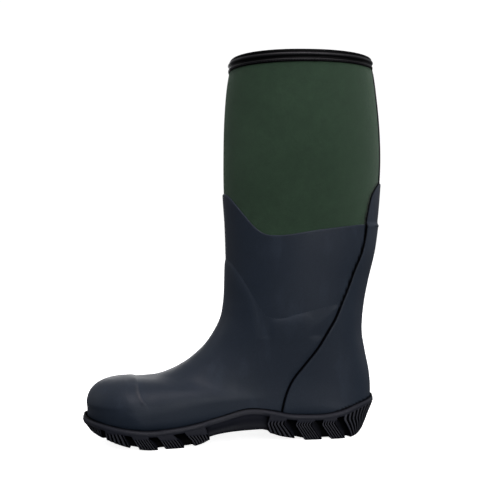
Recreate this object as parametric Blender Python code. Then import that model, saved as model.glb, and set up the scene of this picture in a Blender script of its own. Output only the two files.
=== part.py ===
"""Tall insulated field boot (right foot), modelled as its separate layers and sole parts.

Frame: toe towards -X, inner (medial) side towards -Y, +Z up. The origin is on the ground, under the
middle of the boot. All sizes below are millimetres and are scaled to metres when a mesh is made.

The upper is one smooth foot-and-leg surface, the outside of the insulating neoprene. Every other
layer of the upper is an offset of it, cut to its own outline as seen from the side.
"""
import math

import bmesh
import bpy
import numpy as np
from mathutils import Matrix

MM = 0.001
GAP = 0.3                    # clearance between touching layers
LOOSE_GAP = 0.8              # clearance where facets of two pieces run differently

# Leg and foot, from the rim down to the ball of the foot. Each row is one slanting slice:
# front x, z; back x, z; where it is widest (0 front, 1 back); squareness of its front and back.
SLICES = np.array([
    (-5.0, 402.0, 147.5, 405.5, 0.50, 2.10, 2.00),
    (-10.3, 373.0, 153.0, 379.5, 0.50, 2.00, 2.00),
    (-13.2, 337.0, 158.0, 338.0, 0.50, 2.00, 2.00),
    (-14.0, 300.0, 159.5, 300.0, 0.50, 2.00, 2.00),
    (-13.7, 262.0, 158.0, 264.0, 0.50, 2.00, 2.00),
    (-11.4, 227.0, 154.7, 228.0, 0.50, 2.00, 2.00),
    (-10.3, 196.0, 150.1, 197.0, 0.50, 2.05, 2.05),
    (-10.3, 168.0, 142.9, 168.0, 0.50, 2.10, 2.10),
    (-11.7, 142.0, 137.3, 140.0, 0.50, 2.10, 2.20),
    (-16.8, 121.0, 135.0, 112.0, 0.50, 2.10, 2.40),
    (-30.6, 98.3, 138.3, 90.0, 0.50, 2.10, 2.50),
    (-47.0, 83.0, 143.2, 66.0, 0.50, 2.10, 2.60),
    (-59.3, 75.2, 144.5, 46.0, 0.50, 2.10, 2.70),
    (-67.6, 71.2, 142.2, 30.0, 0.50, 2.10, 3.00),
    (-75.0, 68.4, 133.0, 21.8, 0.50, 2.10, 3.80),
    (-82.0, 66.2, 105.0, 20.6, 0.50, 2.10, 4.80),
    (-89.0, 64.8, 65.0, 20.7, 0.50, 2.15, 5.20),
    (-96.5, 64.2, 20.0, 20.6, 0.52, 2.20, 5.00),
    (-104.0, 64.0, -25.0, 17.3, 0.56, 2.25, 4.60),
    (-111.5, 64.0, -65.0, 13.4, 0.62, 2.30, 4.20),
    (-118.7, 63.6, -100.0, 13.2, 0.66, 2.30, 4.00),
])
TOE_TIP = (-155.0, 29.0)     # x, z of the sock's foremost point
TOE_ROUNDNESS = (0.50, 0.80, 0.85)   # how fast top, floor and width close towards the tip
BALL = len(SLICES) - 1       # slice number at the ball of the foot
TIP = BALL + 3.0             # slice number at the toe tip

# Foot seen from above: x, half width, centre line y.
FOOT_PLAN = np.array([
    (-157, 44.5, -7.0), (-120, 45.8, -7.0), (-95, 48.0, -4.5), (-70, 48.3, -1.6), (-45, 46.0, 1.0),
    (-15, 41.0, 3.3), (15, 37.0, 3.6), (45, 35.0, 2.2), (80, 34.5, 0.6), (110, 35.0, 0.0),
    (150, 35.0, 0.0)])
# Leg: z, half width.
LEG_WIDTH = np.array([
    (100, 39.5), (130, 40.5), (165, 43.0), (200, 46.0), (250, 49.0), (300, 50.5), (340, 50.0),
    (375, 48.6), (410, 47.0)])
FOOT_TO_LEG = (50.0, 140.0)  # heights between which the foot's plan turns into the leg's
SIDE_SHIFT = 2.6             # centres the whole boot on y = 0
RIM_ARCH = 2.6               # how far the rim rises at the sides

# Layers, as distances from the neoprene's outside: inner face, outer face.
LINING = (-6.3, -4.8)
NEOPRENE = (-4.5, 0.0)
LEG_RUBBER = (0.3, 1.6)
VAMP_RUBBER = (1.9, 2.9)
COUNTER_RUBBER = (1.9, 3.7)
CAP_RUBBER = (3.2, 4.5)
TAPE = (0.3, 1.3)
INNER_TAPE = (-7.5, -6.6)

COLUMNS = 24                 # facets round every layer
LEG_ROWS = [0, 1, 2.2, 3.5, 5, 6.4, 7.6, 8.6, 9.4]
FOOT_ROWS = [9.4, 10.3, 11.2, 12.1, 12.9, 13.5, 14, 14.6, 15.4, 16.4, 17.6, 18.8, 20, 21, 21.8, 22.45, 22.8]
LINING_ROWS = [0, 1, 2.2, 3.5, 5, 6.4, 7.6, 8.6]

# Lines seen from the side, as (x, z).
LEG_TOP = [(-200, 262), (-20, 262), (-12, 258), (-1.3, 243), (12.8, 224.5), (23, 216.5), (34, 214.7),
           (50, 215.8), (75, 220), (102, 223.5), (134, 227), (165, 229.5), (200, 231)]
VAMP_TOP = [(-200, 196), (-18, 196), (-12, 192), (-1.2, 176.4), (12.5, 151.6), (21, 136), (29, 129),
            (43, 128.2), (60, 132.8), (81, 137.6), (105, 143)]
COUNTER_FRONT = [(158, 272.5), (152, 271), (144.3, 262.2), (139.6, 252.2), (135, 231.5), (133.5, 215),
                 (128.7, 196), (120.3, 177), (113.4, 159), (106.4, 143), (99.6, 127), (90.3, 111.5),
                 (81, 96), (67.5, 79), (54.6, 62.6), (47, 46), (42.5, 28)]
CAP_BACK = [(-107, 90), (-107, 64), (-104.5, 50), (-97, 40), (-94, 25), (-92, 0)]
PUFF_BACK_X = -98.0
STIFFENER = (95.0, 88.0)     # front x and top z of the heel stiffener
LIP = np.array([             # x, z of the outsole's top edge
    (-162, 30.2), (-150, 27.8), (-127, 23), (-95, 19.4), (-60, 21.9), (-25, 28.4), (8, 34.5), (30, 32.2),
    (55, 27.6), (82, 26.6), (105, 29.5), (127, 36), (150, 42)])
SKIRT = 6.0                  # how far the rubber reaches down inside the outsole

# Sole, from the side.
GROUND = np.array([          # x, z of the tread's underside
    (-156, 13.5), (-148, 12), (-140, 10.5), (-125, 5.5), (-108, 1.5), (-94, 0), (-62, 0), (-45, 2.5),
    (-30, 7.5), (27, 8.5), (40, 5), (56, 2), (66, 0), (116, 0), (128, 1.2), (136, 5.5), (141, 11),
    (144, 14)])
WEB_BOTTOM = np.array([      # x, z of the sole's underside between the lugs
    (-156, 15.5), (-148, 13.5), (-140, 12), (-125, 8.5), (-108, 6), (-92, 5), (-60, 5), (-45, 6.5),
    (-28, 10), (0, 12), (27, 12.3), (40, 11), (60, 8.5), (115, 8), (130, 9.5), (140, 13.5), (144, 17)])
HEEL_UNDERCUT = 10.5         # how far the tread draws in below the lip at the back of the heel
TOE_UNDERCUT = 7.0
WEB_THICKNESS = 2.4
BOARD_THICKNESS = 1.4
SHANK_THICKNESS = 1.4
SHANK_SPAN = (-45.0, 62.0)
SHANK_HALF_WIDTH = 7.5
SOLE_COLUMNS = 56
LUG_DEPTH = 23.0             # how far a side lug reaches in from the edge
LUG_PROUD = 2.6              # how far a side lug stands out of the sole's wall
WALL = 1.7                   # thickness of the sole's wall below the lip
FORE_LUGS = [(-140, -118.5), (-113, -91.5), (-87, -68), (-59, -32)]   # x at the tread
HEEL_LUGS = [(27, 52), (58, 81.5), (87, 107), (112.5, 132)]
FORE_LEAN = -9.0             # x shift of a lug's top against its tread
HEEL_LEAN = -6.0
FORE_CHEVRONS = [-138, -115, -88, -61]
HEEL_CHEVRONS = [52, 80.5, 105]
CHEVRON_RISE = 0.7           # the middle lugs end a little above the side lugs

FOOTBED_HEEL = 6.5           # footbed thickness under the heel
FOOTBED_BALL = 4.2
FOOTBED_COVER = 0.9
UNDERLAY = 1.8


# ---------------------------------------------------------------- curves and the foot surface

def hermite(xs, ys, x, flat=False):
    """Smooth curve through (xs, ys): cubic pieces with slopes taken from the neighbours.

    With flat set, the curve never swings past its own points.
    """
    xs, ys = np.asarray(xs, float), np.asarray(ys, float)
    slope = np.gradient(ys, xs, axis=0)
    if flat:
        rise = np.diff(ys) / np.diff(xs)
        same_way = rise[:-1] * rise[1:] > 0
        least = np.minimum(np.abs(rise[:-1]), np.abs(rise[1:]))
        slope[1:-1] = np.where(same_way, np.clip(slope[1:-1], -2 * least, 2 * least), 0)
    x = np.clip(x, xs[0], xs[-1])
    i = np.clip(np.searchsorted(xs, x, side="right") - 1, 0, len(xs) - 2)
    h = xs[i + 1] - xs[i]
    t = (x - xs[i]) / h
    if ys.ndim > 1:
        t, h = t[..., None], h[..., None]
    return ((1 + 2 * t) * (1 - t) ** 2 * ys[i] + t * (1 - t) ** 2 * h * slope[i]
            + t * t * (3 - 2 * t) * ys[i + 1] + t * t * (t - 1) * h * slope[i + 1])


def curve_points(points, per_span=4):
    """Points along a smooth curve through a few (x, z) points."""
    points = np.array(points, float)
    t = np.linspace(0, len(points) - 1, (len(points) - 1) * per_span + 1)
    return hermite(np.arange(len(points)), points, t)


def smoothstep(a, b, x):
    t = np.clip((x - a) / (b - a), 0, 1)
    return t * t * (3 - 2 * t)


def height(table, x):
    return hermite(table[:, 0], table[:, 1], x, flat=True)


def slice_shape(row):
    """Front point, back point, widest place, squareness and closing factor of a slice."""
    body = hermite(np.arange(len(SLICES)), SLICES, np.minimum(row, BALL))
    angle = np.clip((row - BALL) / (TIP - BALL), 0, 1) * math.pi / 2
    s, c = np.sin(angle), np.maximum(np.cos(angle), 0)
    toe = row > BALL
    top, floor, width = TOE_ROUNDNESS
    front_x = np.where(toe, SLICES[-1, 0] + (TOE_TIP[0] - SLICES[-1, 0]) * s, body[..., 0])
    front_z = np.where(toe, TOE_TIP[1] + (SLICES[-1, 1] - TOE_TIP[1]) * c ** top, body[..., 1])
    back_x = np.where(toe, SLICES[-1, 2] + (TOE_TIP[0] - SLICES[-1, 2]) * s, body[..., 2])
    back_z = np.where(toe, TOE_TIP[1] + (SLICES[-1, 3] - TOE_TIP[1]) * c ** floor, body[..., 3])
    return front_x, front_z, back_x, back_z, body[..., 4], body[..., 5], body[..., 6], c ** width


def surface(row, angle):
    """Point of the foot surface; angle runs from the front over the medial side to the back."""
    row, angle = np.broadcast_arrays(np.asarray(row, float), np.asarray(angle, float))
    angle = np.mod(angle, 2 * math.pi)
    front_x, front_z, back_x, back_z, widest, square_f, square_b, close = slice_shape(row)
    side = np.where(angle <= math.pi, -1.0, 1.0)
    cos, sin = np.cos(angle), np.abs(np.sin(angle))
    power = np.where(cos >= 0, square_f, square_b)
    radius = (np.abs(cos) ** power + sin ** power) ** (-1 / power)
    along = np.where(cos >= 0, widest * (1 - radius * np.abs(cos)),
                     widest + (1 - widest) * radius * np.abs(cos))
    x = front_x + (back_x - front_x) * along
    z = front_z + (back_z - front_z) * along
    z = z + RIM_ARCH * smoothstep(1.5, 0, row) * 4 * along * (1 - along)
    leg = smoothstep(*FOOT_TO_LEG, z)
    plan = hermite(FOOT_PLAN[:, 0], FOOT_PLAN[:, 1:], x)
    half_width = plan[..., 0] * (1 - leg) + height(LEG_WIDTH, z) * leg
    y = SIDE_SHIFT + plan[..., 1] * (1 - leg) + side * half_width * close * radius * sin
    return np.stack([x, y, z], -1)


def layer_point(row, angle, offset):
    """Point at a distance outside the foot surface."""
    row, angle = np.broadcast_arrays(np.asarray(row, float), np.asarray(angle, float))
    step = 1e-3
    inner_row = np.minimum(row, TIP - 2 * step)
    along = surface(inner_row + step, angle) - surface(inner_row - step, angle)
    across = surface(inner_row, angle + step) - surface(inner_row, angle - step)
    normal = np.cross(along, across)
    normal /= np.linalg.norm(normal, axis=-1, keepdims=True)
    return surface(row, angle) + normal * np.asarray(offset, float)[..., None]


def facet_point(row, angle, offset):
    """Point on the flat facets between the columns of a layer, at that layer's distance."""
    step = 2 * math.pi / COLUMNS
    first = np.floor(angle / step)
    part = angle / step - first
    a, b = layer_point(row, first * step, offset), layer_point(row, (first + 1) * step, offset)
    return a + (b - a) * part


# ---------------------------------------------------------------- mesh helpers

def make_object(name, verts, faces, finish):
    """Object from millimetre points; all faces are triangulated the same way and point out."""
    mesh = bpy.data.meshes.new(name)
    mesh.from_pydata((np.asarray(verts, float) * MM).tolist(), [], faces)
    bm = bmesh.new()
    bm.from_mesh(mesh)
    bmesh.ops.remove_doubles(bm, verts=bm.verts, dist=1e-6)
    bmesh.ops.triangulate(bm, faces=[f for f in bm.faces if len(f.verts) > 4])
    bmesh.ops.recalc_face_normals(bm, faces=bm.faces)
    bm.to_mesh(mesh)
    bm.free()
    obj = bpy.data.objects.new(name, mesh)
    bpy.context.scene.collection.objects.link(obj)
    if finish:
        mesh.materials.append(finish)
    return obj


def split(a, b, c, d):
    """A quad as two triangles, always along the same diagonal."""
    return [(a, b, c), (a, c, d)]


def grid_faces(rows, columns, start=0, closed=True):
    faces = []
    for r in range(rows - 1):
        for c in range(columns if closed else columns - 1):
            n = (c + 1) % columns
            a, b = start + r * columns + c, start + r * columns + n
            faces += split(a, b, b + columns, a + columns)
    return faces


def tube(name, rows, layer, finish):
    """Open-ended tube of one layer between the first and last of its rows."""
    angles = np.arange(COLUMNS) * 2 * math.pi / COLUMNS
    row, angle = np.meshgrid(rows, angles, indexing="ij")
    outer = layer_point(row, angle, layer[1]).reshape(-1, 3)
    inner = layer_point(row, angle, layer[0]).reshape(-1, 3)
    count = len(outer)
    faces = grid_faces(len(rows), COLUMNS) + grid_faces(len(rows), COLUMNS, count)
    for ring in (0, count - COLUMNS):
        for c in range(COLUMNS):
            n = (c + 1) % COLUMNS
            faces += split(ring + c, ring + n, count + ring + n, count + ring + c)
    return make_object(name, np.vstack([outer, inner]), faces, finish)


def sock(name, rows, layer, finish):
    """One layer from its first row to the toe, where it closes."""
    angles = np.arange(COLUMNS) * 2 * math.pi / COLUMNS
    row, angle = np.meshgrid(rows, angles, indexing="ij")
    verts, faces = [], []
    for offset in (layer[1], layer[0]):
        start = len(verts)
        verts += list(layer_point(row, angle, offset).reshape(-1, 3))
        verts.append(np.array([TOE_TIP[0] - offset, layer_point(TIP, 0, 0)[1], TOE_TIP[1]]))
        faces += grid_faces(len(rows), COLUMNS, start)
        last, tip = start + (len(rows) - 1) * COLUMNS, len(verts) - 1
        faces += [(last + c, last + (c + 1) % COLUMNS, tip) for c in range(COLUMNS)]
    inner = len(verts) // 2
    for c in range(COLUMNS):
        n = (c + 1) % COLUMNS
        faces += split(c, n, inner + n, inner + c)
    return make_object(name, verts, faces, finish)


def prism(name, outline):
    """Cutter: a side-view outline (x, z) pushed right through the boot, never rendered."""
    half = 120.0
    outline = np.array(outline, float)
    count = len(outline)
    verts = [(x, y, z) for y in (-half, half) for x, z in outline]
    faces = [tuple(range(count)), tuple(range(2 * count - 1, count - 1, -1))]
    faces += [(i, (i + 1) % count, count + (i + 1) % count, count + i) for i in range(count)]
    cutter = make_object(name, verts, faces, None)
    cutter.hide_render = True
    cutter.display_type = "WIRE"
    return cutter


def boolean(obj, other, operation):
    step = obj.modifiers.new(other.name, "BOOLEAN")
    step.object = other
    step.operation = operation
    step.solver = "EXACT"
    return obj


def material(name, colour, roughness, metallic=0.0):
    mat = bpy.data.materials.new(name)
    mat.use_nodes = True
    shader = mat.node_tree.nodes["Principled BSDF"]
    shader.inputs["Base Color"].default_value = (*colour, 1.0)
    shader.inputs["Roughness"].default_value = roughness
    shader.inputs["Metallic"].default_value = metallic
    return mat


# ---------------------------------------------------------------- outlines seen from the side

def layer_floor(x, offset):
    """Height at x of the facets under the foot, along its middle, at a layer's distance."""
    rows = np.array([row for row in FOOT_ROWS if row > 13] + [TIP - 0.01])
    points = layer_point(rows, math.pi, offset)
    order = np.argsort(points[:, 0])
    return np.interp(x, points[order, 0], points[order, 2])


def sock_floor(x):
    return layer_floor(x, NEOPRENE[1])


def skirt_bottom(x):
    """Lower edge of the rubber layers, hidden inside the outsole."""
    return np.maximum(height(LIP, x) - SKIRT, sock_floor(x) + 0.5)


def skirt_line(start, end, count=22):
    return [(x, skirt_bottom(x)) for x in np.linspace(start, end, count)]


def leg_outline():
    top = [p for p in curve_points(LEG_TOP[1:-1]) if p[0] < 165]
    front, top_z = STIFFENER
    return ([(-200, 262), *top, (200, 231), (200, top_z + GAP), (front - GAP, top_z + GAP)]
            + skirt_line(front - GAP, PUFF_BACK_X + GAP)
            + [(PUFF_BACK_X + GAP, 90), (-200, 90)])


def vamp_outline():
    counter = curve_points(COUNTER_FRONT, 2)
    low = [(x - GAP, z) for x, z in counter if z < 141]
    top = [p for p in curve_points(VAMP_TOP[1:]) if p[0] < low[0][0] - 2]
    return [(-200, 196), *top, *low[:-1]] + skirt_line(low[-1][0], -200)


def counter_outline():
    line = list(curve_points(COUNTER_FRONT, 2))
    return [(200, 272.5), *line[:-1]] + skirt_line(line[-1][0], 200)


def cap_outline():
    line = [p for p in curve_points(CAP_BACK, 2) if p[1] > skirt_bottom(p[0])]
    return [(-200, 90), *line] + skirt_line(line[-1][0], -200)


def puff_outline():
    return [(-200, 89), (PUFF_BACK_X, 89)] + skirt_line(PUFF_BACK_X, -200)


def stiffener_outline():
    front, top_z = STIFFENER
    return [(200, top_z), (front, top_z)] + skirt_line(front, 200)


# ---------------------------------------------------------------- the upper's layers

def build_upper(finish):
    tube("shaft_lining", LINING_ROWS, LINING, finish["lining"])
    sock("foot_lining", [LINING_ROWS[-1] + 0.02] + LEG_ROWS[-1:] + FOOT_ROWS[1:], LINING, finish["lining"])
    tube("neoprene_shaft", LEG_ROWS, NEOPRENE, finish["neoprene"])
    sock("neoprene_foot", [FOOT_ROWS[0] + 0.02] + FOOT_ROWS[1:], NEOPRENE, finish["neoprene"])
    cut_pieces = [
        ("leg_shell", LEG_RUBBER, [3.5], leg_outline, "rubber"),
        ("toe_puff", LEG_RUBBER, None, puff_outline, "board"),
        ("heel_stiffener", LEG_RUBBER, None, stiffener_outline, "board"),
        ("vamp", VAMP_RUBBER, [5], vamp_outline, "rubber"),
        ("heel_counter", COUNTER_RUBBER, [3.5], counter_outline, "rubber"),
        ("toe_cap", CAP_RUBBER, None, cap_outline, "rubber"),
    ]
    for name, layer, first, outline, mat in cut_pieces:
        rows = FOOT_ROWS
        if first:
            rows = [r for r in LEG_ROWS if r >= first[0]] + FOOT_ROWS[1:]
        piece = sock(name, rows, layer, finish[mat])
        boolean(piece, prism("cut_" + name, outline()), "INTERSECT")


def rim_point(angle, offset, depth):
    """Point near the rim: depth is measured down from it, and above it when negative."""
    per_row = 26.0
    below = layer_point(max(depth, 0) / per_row, angle, offset)
    up = surface(0.0, angle) - surface(0.05, angle)
    return below + up / np.linalg.norm(up) * max(-depth, 0)


def build_binding(finish):
    """Folded strip over the rim: a U of rubber round the top of the shaft."""
    section = [(0.3, 13), (1.7, 13), (2.3, 7), (2.3, 0), (0.8, -2.0), (-3.2, -2.8), (-7.0, -2.0),
               (-8.1, 0), (-8.0, 10), (-6.6, 10), (-6.6, -0.3), (0.3, -0.3)]
    verts = []
    for c in range(COLUMNS):
        angle = 2 * math.pi * c / COLUMNS
        verts += [rim_point(angle, offset, depth) for offset, depth in section]
    count = len(section)
    faces = []
    for c in range(COLUMNS):
        a, b = c * count, (c + 1) % COLUMNS * count
        for k in range(count):
            n = (k + 1) % count
            faces += split(a + k, b + k, b + n, a + n)
    make_object("collar_binding", verts, faces, finish["binding"])


def strip(name, rows, half_angle, layer, finish):
    """Narrow tape down the middle of the back."""
    angles = [math.pi - half_angle, math.pi, math.pi + half_angle]
    verts = [facet_point(row, angle, offset)
             for offset in (layer[1], layer[0]) for row in rows for angle in angles]
    width, count = len(angles), len(rows) * len(angles)
    faces = grid_faces(len(rows), width, closed=False) + grid_faces(len(rows), width, count, False)
    edge = list(range(width)) + [r * width + width - 1 for r in range(1, len(rows))]
    edge += list(range(count - 2, count - width - 1, -1))
    edge += [r * width for r in range(len(rows) - 2, 0, -1)]
    for i, a in enumerate(edge):
        b = edge[(i + 1) % len(edge)]
        faces += split(a, b, b + count, a + count)
    return make_object(name, verts, faces, finish)


def build_tapes(finish):
    below_binding = 0.52
    outer_rows = [below_binding, 1, 2.2, 3.5, 4.6]
    inner_rows = [below_binding, 1, 2.2, 3.5, 5, 6.4, 7.6, 8.4]
    strip("back_seam_tape", outer_rows, 0.25, TAPE, finish["tape"])
    strip("inner_seam_tape", inner_rows, 0.17, INNER_TAPE, finish["tape"])


# ---------------------------------------------------------------- sole outlines seen from above

def outline_ring(level, offset, columns=SOLE_COLUMNS):
    """Closed outline of the foot where it crosses the height level(x), as (x, y) points.

    offset(x) is the distance outside the foot surface. Points are evenly spaced along the outline
    and run from the heel's middle over the medial side to the toe and back.
    """
    def crossing(row, angle):
        points = layer_point(row, angle, offset(surface(row, angle)[:, 0]))
        above = points[:, 2] - level(points[:, 0])
        hits = np.nonzero((above[:-1] > 0) & (above[1:] <= 0))[0]
        if not len(hits):
            return []
        k = hits[-1]
        t = above[k] / (above[k] - above[k + 1])
        return [(points[k] + (points[k + 1] - points[k]) * t)[:2]]

    angles = np.linspace(0, math.pi, 241)
    rows = np.concatenate([np.linspace(11.5, BALL, 150), np.linspace(BALL + 0.02, TIP - 0.02, 60)])
    medial = [p for row in rows for p in crossing(row, angles)]
    lateral = [p for row in rows for p in crossing(row, -angles)]
    heel = crossing(np.linspace(10, 14, 81), math.pi)
    toe = crossing(np.linspace(BALL + 1, TIP - 0.01, 81), 0.0)
    loop = np.array(heel + medial + toe + lateral[::-1] + heel)
    length = np.concatenate([[0], np.cumsum(np.linalg.norm(np.diff(loop, axis=0), axis=1))])
    at = np.linspace(0, length[-1], columns, endpoint=False)
    return np.stack([np.interp(at, length, loop[:, k]) for k in (0, 1)], -1)


def outward(ring):
    """Unit normals of a ring of (x, y) points, pointing away from the foot."""
    along = np.roll(ring, -2, axis=0) - np.roll(ring, 2, axis=0)
    normal = np.stack([along[:, 1], -along[:, 0]], -1)
    normal /= np.linalg.norm(normal, axis=1, keepdims=True)
    inward = np.sum(normal * (ring - ring.mean(axis=0)), axis=1).sum() < 0
    return -normal if inward else normal


def with_height(ring, level):
    return np.column_stack([ring, level(ring[:, 0])])


def ladder(ring_start, count):
    """Triangles closing a ring straight across, from one side of the foot to the other."""
    faces = []
    for k in range(count // 2):
        a, b = ring_start + k, ring_start + k + 1
        c, d = ring_start + (count - k - 1) % count, ring_start + (count - k) % count
        if k == 0:
            faces.append((a, b, c))
        elif k == count // 2 - 1:
            faces.append((a, b, d))
        else:
            faces += split(a, b, c, d)
    return faces


def slab(name, ring, bottom, top, finish, tuck=0.0):
    """Flat piece between two heights that follow the foot's length.

    Its underside is smaller all round by the tuck.
    """
    verts = np.vstack([with_height(ring, top), with_height(grown(ring, -tuck), bottom)])
    count = len(ring)
    faces = ladder(0, count) + ladder(count, count)
    for k in range(count):
        n = (k + 1) % count
        faces += split(k, n, count + n, count + k)
    return make_object(name, verts, faces, finish)


# ---------------------------------------------------------------- sole parts

def lip_offset(x):
    """Inner face of the outsole's wall: clear of the vamp, and of the cap and counter at the ends."""
    return 3.6 + 1.9 * smoothstep(-84, -92, x) + 1.2 * smoothstep(34, 42, x)


def lip_height(x):
    return height(LIP, x)


def web_top(x):
    return height(WEB_BOTTOM, x) + WEB_THICKNESS


def board_top(x):
    return sock_floor(x) - LOOSE_GAP


def board_bottom(x):
    return board_top(x) - BOARD_THICKNESS


def shank_bottom(x):
    return web_top(x) + 2 * GAP


def shank_top(x):
    return shank_bottom(x) + SHANK_THICKNESS


def grown(ring, distance):
    """Ring moved outwards in plan."""
    return ring + outward(ring) * distance


def undercut(x):
    """How far the tread lies inside the lip at the two ends of the sole."""
    return HEEL_UNDERCUT * smoothstep(105, 146, x) + TOE_UNDERCUT * smoothstep(-135, -160, x)


def lug_proud(x):
    """Lugs stand out less where they wrap round the toe and the heel."""
    return LUG_PROUD - 2.0 * (smoothstep(110, 140, x) + smoothstep(-128, -152, x))


def drawn_in(ring):
    return ring - outward(ring) * undercut(ring[:, :1])


def build_outsole(finish):
    """Cup sole: floor, wall and lip in one body, with the tread's lugs joined on."""
    lip_in = outline_ring(lip_height, lip_offset)
    out = outward(lip_in)
    rings = [
        with_height(drawn_in(lip_in), web_top),
        with_height(lip_in, skirt_bottom),
        with_height(lip_in, lip_height),
        with_height(lip_in + out * 1.2, lambda x: height(LIP, x) - 0.4),
        with_height(lip_in + out * WALL, lambda x: height(LIP, x) - 3.0),
        with_height(lip_in + out * WALL, lambda x: height(LIP, x) - 7.0),
        with_height(drawn_in(lip_in + out * WALL), lambda x: height(WEB_BOTTOM, x)),
    ]
    count = len(lip_in)
    verts = np.vstack(rings)
    faces = grid_faces(len(rings), count) + ladder(0, count) + ladder(count * (len(rings) - 1), count)
    sole = make_object("outsole", verts, faces, finish["outsole"])
    lugs = [side_lug(lip_in, lug, lean, side) for side in (-1, 1)
            for table, lean in ((FORE_LUGS, FORE_LEAN), (HEEL_LUGS, HEEL_LEAN)) for lug in table]
    lugs += [end_lug(lip_in, 0), end_lug(lip_in, len(lip_in) // 2)]
    lugs += [chevron(x, -1) for x in FORE_CHEVRONS] + [chevron(x, 1) for x in HEEL_CHEVRONS]
    for number, lug in enumerate(lugs):
        tread = make_object(f"lug_{number}", *lug, None)
        tread.hide_render = True
        tread.display_type = "WIRE"
        boolean(sole, tread, "UNION")


def lug_section(low_edge, top_edge, depth):
    """Closed outline through a lug, from inside the wall, over its face to the tread and back in.

    Each edge is a point of the sole's outline and its outward normal.
    """
    (point, normal), (top_point, top_normal) = low_edge, top_edge
    inner = point - normal * depth
    low = point - normal * undercut(point[0])
    tread = low + normal * (WALL - 1.2 + lug_proud(point[0]))
    root = top_point + top_normal * 0.9
    face = top_point + top_normal * (WALL + lug_proud(top_point[0]))
    top = height(LIP, top_point[0])
    web = height(WEB_BOTTOM, low[0]) + 1.3
    return [
        (root[0], root[1], top - 5.5),
        (face[0], face[1], top - 7.5),
        (tread[0], tread[1], float(height(GROUND, tread[0]))),
        (inner[0], inner[1], float(height(GROUND, inner[0]))),
        (inner[0], inner[1], float(height(WEB_BOTTOM, inner[0])) + 1.3),
        (low[0] + normal[0] * 0.7, low[1] + normal[1] * 0.7, web),
    ]


def loft(sections):
    """Closed body through a list of closed outlines with the same number of points."""
    count = len(sections[0])
    verts = [p for section in sections for p in section]
    faces = []
    for s in range(len(sections) - 1):
        a, b = s * count, (s + 1) * count
        for k in range(count):
            n = (k + 1) % count
            faces += split(a + k, b + k, b + n, a + n)
    for start in (0, count * (len(sections) - 1)):
        faces.append(tuple(range(start, start + count)))
    return verts, faces


def side_lug(ring, span, lean, side):
    """Lug on one side of the sole between two x positions."""
    normals = outward(ring)
    half = len(ring) // 2
    index = np.arange(half) if side < 0 else np.arange(len(ring) - 1, half, -1)
    order = index[np.argsort(ring[index, 0])]

    def edge(x):
        y, *normal = (np.interp(x, ring[order, 0], column[order])
                      for column in (ring[:, 1], normals[:, 0], normals[:, 1]))
        return np.array([x, y]), np.array(normal) / np.linalg.norm(normal)

    return loft([lug_section(edge(x), edge(x + lean), LUG_DEPTH) for x in np.linspace(*span, 5)])


def end_lug(ring, middle):
    """Lug wrapped round the toe or the heel."""
    normals = outward(ring)
    reach, depth = 2, 19.0
    edges = [(ring[i % len(ring)], normals[i % len(ring)])
             for i in range(middle - reach, middle + reach + 1)]
    return loft([lug_section(edge, edge, depth) for edge in edges])


def chevron(x, direction):
    """V-shaped lug on the middle of the tread; the foot's centre line sets its y."""
    centre = SIDE_SHIFT + float(hermite(FOOT_PLAN[:, 0], FOOT_PLAN[:, 2], x))
    reach, sweep, thick = (17.0, 7.0, 9.0) if x < 0 else (8.0, 5.0, 9.0)
    sections = []
    for part in (-1, 0, 1):
        start = x + direction * sweep * abs(part)
        y = centre + part * reach
        sections.append([
            (start, y, float(height(GROUND, start)) + CHEVRON_RISE),
            (start + thick, y, float(height(GROUND, start + thick)) + CHEVRON_RISE),
            (start + thick, y, float(height(WEB_BOTTOM, start + thick)) + 1.3),
            (start, y, float(height(WEB_BOTTOM, start)) + 1.3)])
    return loft(sections)


def build_sole_core(finish):
    """Midsole with the shank in a slot, and the insole board above it."""
    lip_in = outline_ring(lip_height, lip_offset)
    midsole = slab("midsole", grown(drawn_in(lip_in), -1.0), lambda x: web_top(x) + GAP,
                   lambda x: board_bottom(x) - LOOSE_GAP, finish["midsole"])
    board = grown(lip_in, -7.0 - 6.0 * smoothstep(105, 146, lip_in[:, :1]))
    slab("insole_board", board, board_bottom, board_top, finish["board"])
    bar("shank", SHANK_SPAN, SHANK_HALF_WIDTH, shank_bottom, shank_top, finish["steel"])
    slot = bar("shank_slot", (SHANK_SPAN[0] - GAP, SHANK_SPAN[1] + GAP), SHANK_HALF_WIDTH + GAP,
               lambda x: web_top(x) - 1, lambda x: shank_top(x) + GAP, None)
    slot.hide_render = True
    slot.display_type = "WIRE"
    boolean(midsole, slot, "DIFFERENCE")


def bar(name, span, half_width, bottom, top, finish):
    """Straight strip along the foot whose height follows the sole."""
    sections = []
    for x in np.linspace(*span, 9):
        centre = SIDE_SHIFT + float(hermite(FOOT_PLAN[:, 0], FOOT_PLAN[:, 2], x))
        low, high = float(bottom(x)), float(top(x))
        sections.append([(x, centre - half_width, low), (x, centre + half_width, low),
                         (x, centre + half_width, high), (x, centre - half_width, high)])
    return make_object(name, *loft(sections), finish)


def underlay_bottom(x):
    return layer_floor(x, LINING[0]) + GAP + LOOSE_GAP


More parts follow.
